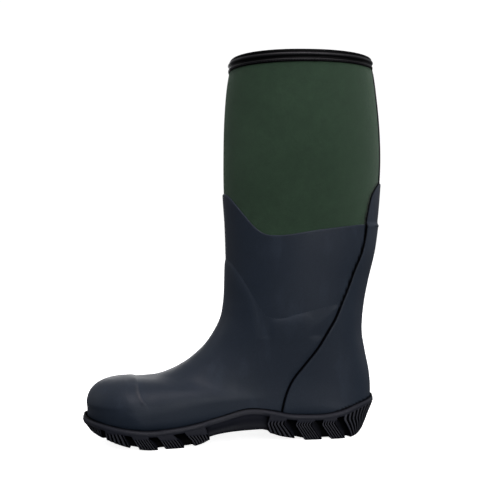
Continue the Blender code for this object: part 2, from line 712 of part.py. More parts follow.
def build_footbed(finish):
    """What lies loose inside: warm underlay, foam footbed and its cover.

    The footbed and cover lift together about the footbed's front edge.
    """
    def footbed_bottom(x):
        return underlay_bottom(x) + UNDERLAY + GAP

    def footbed_top(x):
        return footbed_bottom(x) + FOOTBED_BALL + (FOOTBED_HEEL - FOOTBED_BALL) * smoothstep(-40, 40, x)

    lip_in = outline_ring(lip_height, lip_offset, 36)
    ends = smoothstep(105, 146, lip_in[:, :1]) + smoothstep(-120, -150, lip_in[:, :1])
    low, high = grown(lip_in, -17.0 - 2.0 * ends), grown(lip_in, -15.0)
    slab("thermal_underlay", low, underlay_bottom, lambda x: underlay_bottom(x) + UNDERLAY,
         finish["felt"], tuck=5.0)
    hinge_x = high[:, 0].min()
    hinge = np.array([hinge_x, 0.0, float(footbed_top(hinge_x))])
    footbed = slab("footbed", high, footbed_bottom, footbed_top, finish["foam"])
    cover = slab("footbed_cover", high, lambda x: footbed_top(x) + GAP,
                 lambda x: footbed_top(x) + GAP + FOOTBED_COVER, finish["felt"])
    for piece in (footbed, cover):
        piece.data.transform(Matrix.Translation(-hinge * MM))
        piece.location = hinge * MM


def clear_scene():
    for obj in list(bpy.data.objects):
        bpy.data.objects.remove(obj, do_unlink=True)


def main():
    clear_scene()
    finish = {
        "rubber": material("navy_rubber", (0.019, 0.024, 0.036), 0.55),
        "outsole": material("outsole_rubber", (0.010, 0.011, 0.018), 0.6),
        "neoprene": material("green_neoprene", (0.027, 0.048, 0.030), 0.85),
        "lining": material("mesh_lining", (0.05, 0.05, 0.055), 0.9),
        "binding": material("binding_rubber", (0.004, 0.004, 0.006), 0.6),
        "tape": material("seam_tape", (0.006, 0.006, 0.008), 0.7),
        "board": material("fibre_board", (0.25, 0.19, 0.12), 0.9),
        "midsole": material("midsole_foam", (0.05, 0.05, 0.06), 0.9),
        "foam": material("footbed_foam", (0.03, 0.03, 0.035), 0.9),
        "felt": material("footbed_fabric", (0.08, 0.08, 0.085), 0.95),
        "steel": material("shank_steel", (0.45, 0.45, 0.47), 0.4, 1.0),
    }
    build_upper(finish)
    build_binding(finish)
    build_tapes(finish)
    build_outsole(finish)
    build_sole_core(finish)
    build_footbed(finish)


main()
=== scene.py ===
"""Looks for the tall insulated field boot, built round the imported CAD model.

Frame: toe towards -X, inner (medial) side towards -Y, +Z up, origin on the ground. Shapes are
worked out in millimetres and scaled to metres when a mesh is made. The upper is one smooth
foot-and-leg surface over a chart of (row, angle); every layer is an offset of it, cut along lines
drawn on the side view, with its own edge profile.
"""
import math

import bmesh
import bpy
import numpy as np
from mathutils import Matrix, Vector


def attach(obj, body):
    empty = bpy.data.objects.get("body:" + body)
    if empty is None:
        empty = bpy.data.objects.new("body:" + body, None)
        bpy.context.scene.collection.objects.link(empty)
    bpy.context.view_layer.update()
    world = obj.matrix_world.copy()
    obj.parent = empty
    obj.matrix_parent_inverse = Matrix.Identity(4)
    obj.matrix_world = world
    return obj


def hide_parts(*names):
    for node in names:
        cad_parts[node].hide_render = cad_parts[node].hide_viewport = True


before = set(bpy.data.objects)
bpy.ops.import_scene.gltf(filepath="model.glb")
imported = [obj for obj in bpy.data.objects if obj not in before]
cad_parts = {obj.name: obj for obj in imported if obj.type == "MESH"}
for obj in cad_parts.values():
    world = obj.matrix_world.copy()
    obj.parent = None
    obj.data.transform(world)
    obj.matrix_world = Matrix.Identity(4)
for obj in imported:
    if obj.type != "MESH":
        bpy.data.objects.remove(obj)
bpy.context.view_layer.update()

MM = 0.001

# Leg and foot, from the rim down to the ball of the foot. Each row is one slanting slice:
# front x, z; back x, z; where it is widest (0 front, 1 back); squareness of its front and back.
SLICES = np.array([
    (-5.0, 402.0, 147.5, 405.5, 0.50, 2.60, 2.30),
    (-10.3, 373.0, 153.0, 379.5, 0.50, 2.20, 2.10),
    (-13.2, 337.0, 158.0, 338.0, 0.50, 2.00, 2.00),
    (-14.0, 300.0, 159.5, 300.0, 0.50, 2.00, 2.00),
    (-13.7, 262.0, 158.0, 264.0, 0.50, 2.00, 2.00),
    (-11.4, 227.0, 154.7, 228.0, 0.50, 2.00, 2.00),
    (-10.3, 196.0, 150.1, 197.0, 0.50, 2.05, 2.05),
    (-10.3, 168.0, 142.9, 168.0, 0.50, 2.10, 2.10),
    (-11.7, 142.0, 137.3, 140.0, 0.50, 2.10, 2.20),
    (-16.8, 121.0, 135.0, 112.0, 0.50, 2.10, 2.40),
    (-30.6, 98.3, 138.3, 90.0, 0.50, 2.10, 2.50),
    (-47.0, 83.0, 143.2, 66.0, 0.50, 2.10, 2.60),
    (-59.3, 75.2, 144.5, 46.0, 0.50, 2.10, 2.70),
    (-67.6, 71.2, 142.2, 30.0, 0.50, 2.10, 3.00),
    (-75.0, 68.4, 133.0, 21.8, 0.50, 2.10, 3.80),
    (-82.0, 66.2, 105.0, 20.6, 0.50, 2.10, 4.80),
    (-89.0, 64.8, 65.0, 20.7, 0.50, 2.15, 5.20),
    (-96.5, 64.2, 20.0, 20.6, 0.52, 2.20, 5.00),
    (-104.0, 64.0, -25.0, 17.3, 0.56, 2.25, 4.60),
    (-111.5, 64.0, -65.0, 13.4, 0.62, 2.30, 4.20),
    (-118.7, 63.6, -100.0, 13.2, 0.66, 2.30, 4.00),
])
TOE_TIP = (-155.0, 29.0)
TOE_ROUNDNESS = (0.50, 0.80, 0.85)
BALL = len(SLICES) - 1
TIP = BALL + 3.0
FOOT_PLAN = np.array([
    (-157, 44.5, -7.0), (-120, 45.8, -7.0), (-95, 48.0, -4.5), (-70, 48.3, -1.6), (-45, 46.0, 1.0),
    (-15, 41.0, 3.3), (15, 37.0, 3.6), (45, 35.0, 2.2), (80, 34.5, 0.6), (110, 35.0, 0.0),
    (150, 35.0, 0.0)])
LEG_WIDTH = np.array([
    (100, 39.5), (130, 40.5), (165, 43.0), (200, 46.0), (250, 49.0), (300, 50.5), (340, 50.0),
    (375, 48.6), (410, 47.0)])
FOOT_TO_LEG = (50.0, 140.0)
SIDE_SHIFT = 2.6
RIM_ARCH = 2.6

# Layers, as distances from the neoprene's outside: inner face, outer face.
LINING = (-6.3, -4.8)
NEOPRENE = (-4.5, 0.0)
LEG_RUBBER = (0.3, 1.6)
VAMP_RUBBER = (1.9, 2.9)
COUNTER_RUBBER = (1.9, 3.7)
CAP_RUBBER = (3.2, 4.5)

# Lines seen from the side, as (x, z).
LEG_TOP = [(-200, 262), (-20, 262), (-12, 258), (-1.3, 243), (12.8, 224.5), (23, 216.5),
           (34, 214.7), (50, 215.8), (75, 220), (102, 223.5), (134, 227), (165, 229.5), (200, 231)]
VAMP_TOP = [(-200, 196), (-18, 196), (-12, 192), (-1.2, 176.4), (12.5, 151.6), (21, 136), (29, 129),
            (43, 128.2), (60, 132.8), (81, 137.6), (105, 143)]
COUNTER_FRONT = [(158, 272.5), (152, 271), (144.3, 262.2), (139.6, 252.2), (135, 231.5),
                 (133.5, 215), (128.7, 196), (120.3, 177), (113.4, 159), (106.4, 143), (99.6, 127),
                 (90.3, 111.5), (81, 96), (67.5, 79), (54.6, 62.6), (47, 46), (42.5, 28)]
CAP_BACK = [(-107, 90), (-107, 64), (-104.5, 50), (-97, 40), (-94, 25), (-92, 0)]
LIP = np.array([
    (-162, 30.2), (-150, 27.8), (-127, 23), (-95, 19.4), (-60, 21.9), (-25, 28.4), (8, 34.5),
    (30, 32.2), (55, 27.6), (82, 26.6), (105, 29.5), (127, 36), (150, 42)])
GROUND = np.array([
    (-156, 13.5), (-148, 12), (-140, 10.5), (-125, 5.5), (-108, 1.5), (-94, 0), (-62, 0),
    (-45, 2.5), (-30, 7.5), (27, 8.5), (40, 5), (56, 2), (66, 0), (116, 0), (128, 1.2),
    (136, 5.5), (141, 11), (144, 14)])
WEB_BOTTOM = np.array([
    (-156, 15.5), (-148, 13.5), (-140, 12), (-125, 8.5), (-108, 6), (-92, 5), (-60, 5), (-45, 6.5),
    (-28, 10), (0, 12), (27, 12.3), (40, 11), (60, 8.5), (115, 8), (130, 9.5), (140, 13.5),
    (144, 17)])
SKIRT = 6.0
HEEL_UNDERCUT = 10.5
TOE_UNDERCUT = 7.0
WEB_THICKNESS = 2.4
WALL = 1.7
LUG_PROUD = 2.6
LUG_DEPTH = 23.0


# ---------------------------------------------------------------- curves and the foot surface

def hermite(xs, ys, x, flat=False):
    """Smooth curve through (xs, ys); with flat set it never swings past its own points."""
    xs, ys = np.asarray(xs, float), np.asarray(ys, float)
    slope = np.gradient(ys, xs, axis=0)
    if flat:
        rise = np.diff(ys) / np.diff(xs)
        same_way = rise[:-1] * rise[1:] > 0
        least = np.minimum(np.abs(rise[:-1]), np.abs(rise[1:]))
        slope[1:-1] = np.where(same_way, np.clip(slope[1:-1], -2 * least, 2 * least), 0)
    x = np.clip(x, xs[0], xs[-1])
    i = np.clip(np.searchsorted(xs, x, side="right") - 1, 0, len(xs) - 2)
    h = xs[i + 1] - xs[i]
    t = (x - xs[i]) / h
    if ys.ndim > 1:
        t, h = t[..., None], h[..., None]
    return ((1 + 2 * t) * (1 - t) ** 2 * ys[i] + t * (1 - t) ** 2 * h * slope[i]
            + t * t * (3 - 2 * t) * ys[i + 1] + t * t * (t - 1) * h * slope[i + 1])


def curve_points(points, per_span=6):
    points = np.array(points, float)
    t = np.linspace(0, len(points) - 1, (len(points) - 1) * per_span + 1)
    return hermite(np.arange(len(points)), points, t)


def smoothstep(a, b, x):
    t = np.clip((x - a) / (b - a), 0, 1)
    return t * t * (3 - 2 * t)


def height(table, x):
    return hermite(table[:, 0], table[:, 1], x, flat=True)


def slice_shape(row):
    body = hermite(np.arange(len(SLICES)), SLICES, np.minimum(row, BALL))
    angle = np.clip((row - BALL) / (TIP - BALL), 0, 1) * math.pi / 2
    s, c = np.sin(angle), np.maximum(np.cos(angle), 0)
    toe = row > BALL
    top, floor, width = TOE_ROUNDNESS
    front_x = np.where(toe, SLICES[-1, 0] + (TOE_TIP[0] - SLICES[-1, 0]) * s, body[..., 0])
    front_z = np.where(toe, TOE_TIP[1] + (SLICES[-1, 1] - TOE_TIP[1]) * c ** top, body[..., 1])
    back_x = np.where(toe, SLICES[-1, 2] + (TOE_TIP[0] - SLICES[-1, 2]) * s, body[..., 2])
    back_z = np.where(toe, TOE_TIP[1] + (SLICES[-1, 3] - TOE_TIP[1]) * c ** floor, body[..., 3])
    return front_x, front_z, back_x, back_z, body[..., 4], body[..., 5], body[..., 6], c ** width


def surface(row, angle):
    """Point of the foot surface; angle runs from the front over the medial side to the back."""
    row, angle = np.broadcast_arrays(np.asarray(row, float), np.asarray(angle, float))
    turn = np.mod(angle, 2 * math.pi)
    front_x, front_z, back_x, back_z, widest, square_f, square_b, close = slice_shape(row)
    side = np.where(turn <= math.pi, -1.0, 1.0)
    cos, sin = np.cos(turn), np.abs(np.sin(turn))
    power = np.where(cos >= 0, square_f, square_b)
    radius = (np.abs(cos) ** power + sin ** power) ** (-1 / power)
    along = np.where(cos >= 0, widest * (1 - radius * np.abs(cos)),
                     widest + (1 - widest) * radius * np.abs(cos))
    x = front_x + (back_x - front_x) * along
    z = front_z + (back_z - front_z) * along
    z = z + RIM_ARCH * smoothstep(1.5, 0, row) * 4 * along * (1 - along)
    leg = smoothstep(*FOOT_TO_LEG, z)
    plan = hermite(FOOT_PLAN[:, 0], FOOT_PLAN[:, 1:], x)
    half_width = plan[..., 0] * (1 - leg) + height(LEG_WIDTH, z) * leg
    y = SIDE_SHIFT + plan[..., 1] * (1 - leg) + side * half_width * close * radius * sin
    return np.stack([x, y, z], -1)


def layer_point(row, angle, offset):
    """Point at a distance outside the foot surface."""
    row, angle = np.broadcast_arrays(np.asarray(row, float), np.asarray(angle, float))
    step = 1e-3
    inner_row = np.minimum(row, TIP - 2 * step)
    along = surface(inner_row + step, angle) - surface(inner_row - step, angle)
    across = surface(inner_row, angle + step) - surface(inner_row, angle - step)
    normal = np.cross(along, across)
    normal /= np.linalg.norm(normal, axis=-1, keepdims=True)
    return surface(row, angle) + normal * np.asarray(offset, float)[..., None]


def skirt_bottom(x):
    return height(LIP, x) - SKIRT


# ---------------------------------------------------------------- meshes

def mesh_object(name, verts, faces, finish, uvs=None, sharp=50.0, painted_shading=None):
    """Object from millimetre points, welded, smooth shaded, faces out.

    The shading marks are one number per point, painted into the colour: 1 for painted shade in
    seams, joints and grooves, below 0 for a painted highlight (on the lugs' rib tops, wear as
    well).
    """
    mesh = bpy.data.meshes.new(name)
    mesh.from_pydata((np.asarray(verts, float) * MM).tolist(), [], [tuple(f) for f in faces])
    if painted_shading is not None:
        marks = mesh.attributes.new("painted_shading", "FLOAT", "POINT")
        marks.data.foreach_set("value", np.asarray(painted_shading, np.float32))
    if uvs is not None:
        layer = mesh.uv_layers.new(name="fabric")
        corner = np.zeros(len(mesh.loops), np.int32)
        mesh.loops.foreach_get("vertex_index", corner)
        uvs = np.asarray(uvs, float)[corner] * MM
        layer.data.foreach_set("uv", uvs.astype(np.float32).ravel())
    bm = bmesh.new()
    bm.from_mesh(mesh)
    bmesh.ops.remove_doubles(bm, verts=bm.verts, dist=2e-6)
    bmesh.ops.dissolve_degenerate(bm, edges=bm.edges, dist=1e-7)
    bmesh.ops.triangulate(bm, faces=[f for f in bm.faces if len(f.verts) > 4])
    bmesh.ops.recalc_face_normals(bm, faces=bm.faces)
    bm.to_mesh(mesh)
    bm.free()
    mesh.shade_smooth()
    mesh.set_sharp_from_angle(angle=math.radians(sharp))
    obj = bpy.data.objects.new(name, mesh)
    bpy.context.scene.collection.objects.link(obj)
    mesh.materials.append(finish)
    return obj


def spaced_rows(first, last, step):
    """Row numbers whose slices lie about one step apart."""
    fine = np.linspace(first, last, 400)
    paths = [surface(fine, angle) for angle in (0.0, math.pi / 2, math.pi)]
    apart = np.max([np.linalg.norm(np.diff(path, axis=0), axis=1) for path in paths], axis=0)
    length = np.concatenate([[0], np.cumsum(apart)])
    count = max(2, int(round(length[-1] / step)) + 1)
    return np.interp(np.linspace(0, length[-1], count), length, fine)


def even_angles(row, count):
    """Angles from 0 to a full turn, evenly spaced along the slice's outline."""
    halves = []
    for start in (0.0, math.pi):
        angle = np.linspace(start, start + math.pi, 181)
        path = surface(row, angle)
        length = np.concatenate([[0], np.cumsum(np.linalg.norm(np.diff(path, axis=0), axis=1))])
        at = np.linspace(0, length[-1], count // 2 + 1)
        halves.append((np.interp(at, length, angle), at + (0 if not halves else halves[0][1][-1])))
    angles = np.concatenate([halves[0][0], halves[1][0][1:]])
    lengths = np.concatenate([halves[0][1], halves[1][1][1:]])
    return angles, lengths


def chart(first, last, step, columns):
    """Grid on the foot surface (row, angle, arc round, arc down) and its triangles."""
    rows = spaced_rows(first, last, step)
    points = []
    down = 0.0
    for k, row in enumerate(rows):
        angles, around = even_angles(row, columns)
        if k:
            down += np.linalg.norm(surface(row, math.pi / 2) - surface(rows[k - 1], math.pi / 2))
        points.append(np.column_stack([np.full(len(angles), row), angles, around - around[-1] / 2,
                                       np.full(len(angles), down)]))
    width = columns + 1
    index = np.arange(len(rows) * width).reshape(len(rows), width)
    a, b, c, d = index[:-1, :-1], index[:-1, 1:], index[1:, 1:], index[1:, :-1]
    faces = np.vstack([np.stack(part, -1).reshape(-1, 3) for part in ((a, b, c), (a, c, d))])
    return np.vstack(points), faces


CUT_SNAP = 0.12              # a point this near a cut is moved onto it


def cut(points, faces, column, level):
    """Splits faces where a column's value crosses a level."""
    points = points.copy()
    value = points[:, column] - level
    value[np.abs(value) < CUT_SNAP] = 0
    points[value == 0, column] = level
    sign = np.sign(value)
    edges = np.vstack([faces[:, [0, 1]], faces[:, [1, 2]], faces[:, [2, 0]]])
    edges = np.sort(edges, axis=1)
    crossing = sign[edges[:, 0]] * sign[edges[:, 1]] < 0
    if not crossing.any():
        return points, faces
    unique, inverse = np.unique(edges[crossing], axis=0, return_inverse=True)
    share = value[unique[:, 0]] / (value[unique[:, 0]] - value[unique[:, 1]])
    new = points[unique[:, 0]] * (1 - share)[:, None] + points[unique[:, 1]] * share[:, None]
    new[:, column] = level
    made = np.full(len(edges), -1)
    made[crossing] = len(points) + inverse.ravel()
    made = made.reshape(3, -1).T
    hits = (made >= 0).sum(axis=1)
    result = [faces[hits == 0]]
    for turn in range(3):
        order = [turn, (turn + 1) % 3, (turn + 2) % 3]
        v, e = faces[:, order], made[:, order]
        one = (hits == 1) & (e[:, 1] >= 0)
        result += [np.column_stack([v[one, 0], v[one, 1], e[one, 1]]),
                   np.column_stack([v[one, 0], e[one, 1], v[one, 2]])]
        two = (hits == 2) & (e[:, 1] < 0)
        result += [np.column_stack([v[two, 0], e[two, 0], e[two, 2]]),
                   np.column_stack([e[two, 0], v[two, 1], v[two, 2]]),
                   np.column_stack([e[two, 0], v[two, 2], e[two, 2]])]
    return np.vstack([points, new]), np.vstack(result)


def distance_to_line(x, z, line, closed=False):
    """Distance, seen from the side, to a line through (x, z) points."""
    line = np.asarray(line, float)
    ends = np.roll(line, -1, axis=0) if closed else line[1:]
    best = np.full(np.shape(x), 1e9)
    for (ax, az), (bx, bz) in zip(line, ends):
        span = (bx - ax) ** 2 + (bz - az) ** 2
        if span < 1e-12:
            continue
        t = np.clip(((x - ax) * (bx - ax) + (z - az) * (bz - az)) / span, 0, 1)
        best = np.minimum(best, np.hypot(x - ax - t * (bx - ax), z - az - t * (bz - az)))
    return best


def inside_distance(x, z, outline):
    """Distance inside a closed outline seen from the side; negative outside."""
    inside = np.zeros(np.shape(x), bool)
    outline = np.asarray(outline, float)
    for (ax, az), (bx, bz) in zip(outline, np.roll(outline, -1, axis=0)):
        if az != bz:
            across = (az > z) != (bz > z)
            inside ^= across & (x < (bx - ax) * (z - az) / (bz - az) + ax)
    distance = distance_to_line(x, z, outline, closed=True)
    return np.where(inside, distance, -distance)


def open_edges(faces):
    """Boundary edges of a set of triangles, in the triangles' own direction."""
    edges = np.vstack([faces[:, [0, 1]], faces[:, [1, 2]], faces[:, [2, 0]]])
    key = np.sort(edges, axis=1)
    _, first, count = np.unique(key, axis=0, return_index=True, return_counts=True)
    return edges[first[count == 1]]


def weld_seam(points, faces):
    """Joins the chart's first and last columns, which are the same line on the surface."""
    ends = np.nonzero(np.abs(points[:, 1] - 2 * math.pi) < 1e-9)[0]
    starts = np.nonzero(np.abs(points[:, 1]) < 1e-9)[0]
    swap = np.arange(len(points))
    order = starts[np.argsort(points[starts, 0])]
    at = np.searchsorted(points[order, 0], points[ends, 0] - 1e-7)
    at = np.clip(at, 0, len(order) - 1)
    swap[ends] = order[at]
    return swap[faces]


def skin(name, span, step, columns, layer, outline, edge, finish, shape=None, uv=False, lift=None,
         painted_shading=None, soften=None):
    """One closed layer of the upper.

    span: first and last row; edge: (distance inside the outline, height above the layer's inner
    face) pairs from the rim of the piece inwards; shape(inside, x, z) adds millimetres to the outer
    face and lift(x, z) to both faces; the shading function (inside, x, z) gives where shade or a
    highlight is painted into the colour; soften(x, z) below 1 stretches the edge's profile into
    the piece.
    """
    points, faces = chart(*span, step, columns)
    where = surface(points[:, 0], points[:, 1])
    points = np.column_stack([points, inside_distance(where[:, 0], where[:, 2], outline)])
    for level, _ in edge:
        points, faces = cut(points, faces, 4, level)
    faces = faces[(points[faces, 4].min(axis=1) >= 0) & (points[faces, 4].max(axis=1) > 0)]
    used = np.unique(faces)
    renumber = np.zeros(len(points), int)
    renumber[used] = np.arange(len(used))
    points, faces = points[used], renumber[faces]
    levels, heights = zip(*edge)
    x, _, z = surface(points[:, 0], points[:, 1]).T
    reach = points[:, 4] if soften is None else points[:, 4] * soften(x, z)
    outer_offset = layer[0] + np.interp(reach, levels, heights)
    if shape is not None:
        outer_offset = outer_offset + shape(points[:, 4], x, z)
    raised = np.zeros(len(points)) if lift is None else lift(x, z)
    outer = layer_point(points[:, 0], points[:, 1], outer_offset + raised)
    inner = layer_point(points[:, 0], points[:, 1], layer[0] + raised)
    welded = weld_seam(points, faces)
    rim = open_edges(welded)
    count = len(points)
    walls = np.vstack([np.column_stack([rim[:, 1], rim[:, 0], rim[:, 0] + count]),
                       np.column_stack([rim[:, 1], rim[:, 0] + count, rim[:, 1] + count])])
    everything = np.vstack([faces, faces[:, ::-1] + count, walls])
    uvs = np.vstack([points[:, 2:4], points[:, 2:4]]) if uv else None
    marks = None if painted_shading is None else np.tile(painted_shading(points[:, 4], x, z), 2)
    return mesh_object(name, np.vstack([outer, inner]), everything, finish, uvs, painted_shading=marks)


def tube_skin(name, span, step, columns, layer, finish, painted_shading=None):
    """A whole layer between two rows, closed at its ends or at the toe."""
    everywhere = [(-400, -400), (400, -400), (400, 800), (-400, 800)]
    return skin(name, span, step, columns, layer, everywhere, [(0.0, layer[1] - layer[0])], finish,
                uv=True, painted_shading=painted_shading)


# ---------------------------------------------------------------- outlines seen from the side

def skirt_line(start, end):
    return [(x, float(skirt_bottom(x))) for x in np.linspace(start, end, 30)]


def leg_outline():
    top = [tuple(p) for p in curve_points(LEG_TOP[1:-1]) if p[0] < 165]
    return [(-200, 262), *top, (200, 231)] + skirt_line(200, -200)


def vamp_outline():
    counter = curve_points(COUNTER_FRONT, 4)
    low = [(x - 0.5, z) for x, z in counter if z < 141]
    top = [tuple(p) for p in curve_points(VAMP_TOP[1:]) if p[0] < low[0][0] - 1]
    return [(-200, 196), *top, *low[:-1]] + skirt_line(low[-1][0], -200)


def counter_outline():
    line = [tuple(p) for p in curve_points(COUNTER_FRONT, 5)]
    return [(200, 272.5), *line[:-1]] + skirt_line(line[-1][0], 200)


def cap_outline():
    line = [tuple(p) for p in curve_points(CAP_BACK, 6) if p[1] > skirt_bottom(p[0])]
    return [(-200, 90), *line] + skirt_line(line[-1][0], -200)


# ---------------------------------------------------------------- materials

def new_material(name):
    mat = bpy.data.materials.new(name)
    mat.use_nodes = True
    return mat, mat.node_tree.nodes, mat.node_tree.links, mat.node_tree.nodes["Principled BSDF"]


def noise(nodes, links, source, scale, detail, stretch=None):
    """Noise texture in metres: scale is repeats per metre."""
    texture = nodes.new("ShaderNodeTexNoise")
    texture.inputs["Scale"].default_value = scale
    texture.inputs["Detail"].default_value = detail
    if stretch:
        mapping = nodes.new("ShaderNodeMapping")
        mapping.inputs["Scale"].default_value = stretch
        links.new(source, mapping.inputs["Vector"])
        source = mapping.outputs["Vector"]
    links.new(source, texture.inputs["Vector"])
    return texture.outputs["Fac"]


def ramp(nodes, links, value, stops):
    node = nodes.new("ShaderNodeValToRGB")
    elements = node.color_ramp.elements
    while len(elements) < len(stops):
        elements.new(0.5)
    for element, (position, colour) in zip(elements, stops):
        element.position = position
        element.color = (*colour, 1.0)
    links.new(value, node.inputs["Fac"])
    return node.outputs["Color"]


def map_range(nodes, links, value, low, high, to_low, to_high):
    node = nodes.new("ShaderNodeMapRange")
    for key, number in (("From Min", low), ("From Max", high), ("To Min", to_low),
                        ("To Max", to_high)):
        node.inputs[key].default_value = number
    links.new(value, node.inputs["Value"])
    return node.outputs["Result"]


def bumps(nodes, links, shader, *layers):
    """Chains bump nodes: each layer is (height, strength, distance in metres)."""
    normal = None
    for value, strength, distance in layers:
        bump = nodes.new("ShaderNodeBump")
        bump.inputs["Strength"].default_value = strength
        bump.inputs["Distance"].default_value = distance
        links.new(value, bump.inputs["Height"])
        if normal is not None:
            links.new(normal, bump.inputs["Normal"])
        normal = bump.outputs["Normal"]
    links.new(normal, shader.inputs["Normal"])


def mix(nodes, links, blend, share, a, b):
    node = nodes.new("ShaderNodeMix")
    node.data_type = "RGBA"
    node.blend_type = blend
    if isinstance(share, float):
        node.inputs["Factor"].default_value = share
    else:
        links.new(share, node.inputs["Factor"])
    for key, source in ((6, a), (7, b)):
        if isinstance(source, tuple):
            node.inputs[key].default_value = (*source, 1.0)
        else:
            links.new(source, node.inputs[key])
    return node.outputs[2]


def tinted(nodes, links, base, shade):
    """A colour multiplied by a grey value."""
    tint = nodes.new("ShaderNodeCombineColor")
    for channel in tint.inputs:
        links.new(shade, channel)
    return mix(nodes, links, "MULTIPLY", 1.0, base, tint.outputs[0])


def object_coordinates(nodes):
    return nodes.new("ShaderNodeTexCoord").outputs["Object"]


# near-black colour painted where shade falls: in seams, joints, grooves and between the lugs
PAINTED_SHADE = (0.0006, 0.0007, 0.0010)
PAINTED_SHADE_GLOSS = 0.12            # share of a rubber's specular level left where shade is painted
# lighter colour painted as a highlight on the toe cap's crest and the sole's band, and as wear and
# highlight on the lugs' rib tops
PAINTED_HIGHLIGHT = (0.055, 0.057, 0.066)
RUBBER_GRAIN = 0.00006       # bump heights, metres
KNIT_DEPTH = 0.00025


def painted_shading_mark(nodes):
    """The mesh's own painted shading marks (shade above 0, highlight below 0); 0 on a mesh that has
    none.
    """
    marks = nodes.new("ShaderNodeAttribute")
    marks.attribute_name = "painted_shading"
    return marks.outputs["Fac"]


def near_sole(x, z):
    """Painted shade in the joint between the upper's rubber and the outsole's lip."""
    return 1.0 - smoothstep(0.1, 1.0, z - height(LIP, x))


def rubber(name, dark, light, roughness, specular, bloom=0.5):
    """Moulded rubber: faint cloudy bloom, fine grain, slightly uneven gloss; painted shade and
    highlights where marked.
    """
    mat, nodes, links, shader = new_material(name)
    place = object_coordinates(nodes)
    cloud = noise(nodes, links, place, 14.0, 5.0)
    speck = noise(nodes, links, place, 900.0, 2.0)
    scuff = noise(nodes, links, place, 60.0, 6.0, (1.0, 1.0, 0.35))
    base = ramp(nodes, links, cloud, [(0.30, dark), (0.72, light)])
    dusty = map_range(nodes, links, scuff, 0.55, 0.8, 0.0, bloom)
    worn = tuple(min(1.0, value * 1.5 + 0.004) for value in light)
    base = mix(nodes, links, "MIX", dusty, base, worn)
    fleck = map_range(nodes, links, speck, 0.3, 0.7, 0.90, 1.10)
    base = tinted(nodes, links, base, fleck)
    # Painted shade: near black and less glossy where the marks are above 0; painted highlight:
    # lighter where they are below 0.
    painted_shading = painted_shading_mark(nodes)
    base = mix(nodes, links, "MIX", painted_shading, base, PAINTED_SHADE)
    highlight_share = map_range(nodes, links, painted_shading, 0.0, -1.0, 0.0, 1.0)
    base = mix(nodes, links, "MIX", highlight_share, base, PAINTED_HIGHLIGHT)
    links.new(base, shader.inputs["Base Color"])
    links.new(map_range(nodes, links, painted_shading, 0.0, 1.0, specular, specular * PAINTED_SHADE_GLOSS),
              shader.inputs["Specular IOR Level"])
    gloss = map_range(nodes, links, scuff, 0.3, 0.75, roughness - 0.05, roughness + 0.09)
    links.new(gloss, shader.inputs["Roughness"])
    bumps(nodes, links, shader, (speck, 0.5, RUBBER_GRAIN), (cloud, 0.5, 0.0006))
    return mat


def knit(name, dark, light, pitch, roughness, sheen):
    """Knitted face fabric: rows of small V stitches along the piece's UV map, in metres."""
    mat, nodes, links, shader = new_material(name)
    uv = nodes.new("ShaderNodeUVMap")
    uv.uv_map = "fabric"
    parts = nodes.new("ShaderNodeSeparateXYZ")
    links.new(uv.outputs["UV"], parts.inputs[0])

    def math_node(kind, a, b=None):
        node = nodes.new("ShaderNodeMath")
        node.operation = kind
        for socket, value in zip(node.inputs, (a, b)):
            if value is None:
                continue
            if isinstance(value, (int, float)):
                socket.default_value = value
            else:
                links.new(value, socket)
        return node.outputs[0]

    across = math_node("PINGPONG", parts.outputs[0], pitch / 2)
    slant = math_node("MULTIPLY_ADD", across, 1.6)
    slant.node.inputs[2].default_value = 0.0
    links.new(parts.outputs[1], slant.node.inputs[2])
    wave = math_node("SINE", math_node("MULTIPLY", slant, 2 * math.pi / (pitch * 0.8)))
    rib = math_node("SINE", math_node("MULTIPLY", across, 2 * math.pi / pitch))
    stitch = math_node("ADD", math_node("MULTIPLY", wave, 0.5), rib)
    place = object_coordinates(nodes)
    cloud = noise(nodes, links, place, 16.0, 5.0)
    fuzz = noise(nodes, links, place, 1100.0, 2.0)
    mottle = noise(nodes, links, place, 120.0, 4.0)
    base = ramp(nodes, links, cloud, [(0.32, dark), (0.70, light)])
    shade = math_node("MULTIPLY", map_range(nodes, links, stitch, -1.0, 1.5, 0.84, 1.10),
                      math_node("MULTIPLY", map_range(nodes, links, fuzz, 0.3, 0.7, 0.86, 1.14),
                                map_range(nodes, links, mottle, 0.3, 0.7, 0.93, 1.07)))
    base = tinted(nodes, links, base, shade)
    # Painted shade where the mesh is marked.
    base = mix(nodes, links, "MIX", painted_shading_mark(nodes), base, PAINTED_SHADE)
    links.new(base, shader.inputs["Base Color"])
    rough = map_range(nodes, links, mottle, 0.3, 0.7, roughness - 0.04, roughness + 0.04)
    links.new(rough, shader.inputs["Roughness"])
    shader.inputs["Specular IOR Level"].default_value = 0.15
    shader.inputs["Sheen Weight"].default_value = sheen
    shader.inputs["Sheen Roughness"].default_value = 0.45
    shader.inputs["Sheen Tint"].default_value = (0.62, 0.80, 0.64, 1.0)
    bumps(nodes, links, shader, (stitch, 0.5, KNIT_DEPTH), (fuzz, 0.4, 0.0001))
    return mat


def plain_fabric(name, dark, light, scale=700.0, roughness=0.9):
    """Felt, fibre board and foam: mottled, matt, with a soft grain."""
    mat, nodes, links, shader = new_material(name)
    place = object_coordinates(nodes)
    cloud = noise(nodes, links, place, 40.0, 5.0)
    grain = noise(nodes, links, place, scale, 3.0)
    base = ramp(nodes, links, grain, [(0.30, dark), (0.72, light)])
    shade = map_range(nodes, links, cloud, 0.3, 0.7, 0.9, 1.1)
    links.new(tinted(nodes, links, base, shade), shader.inputs["Base Color"])
    links.new(map_range(nodes, links, grain, 0.3, 0.7, roughness - 0.06, roughness + 0.06),
              shader.inputs["Roughness"])
    shader.inputs["Specular IOR Level"].default_value = 0.2
    bumps(nodes, links, shader, (grain, 0.6, 0.0002))
    return mat


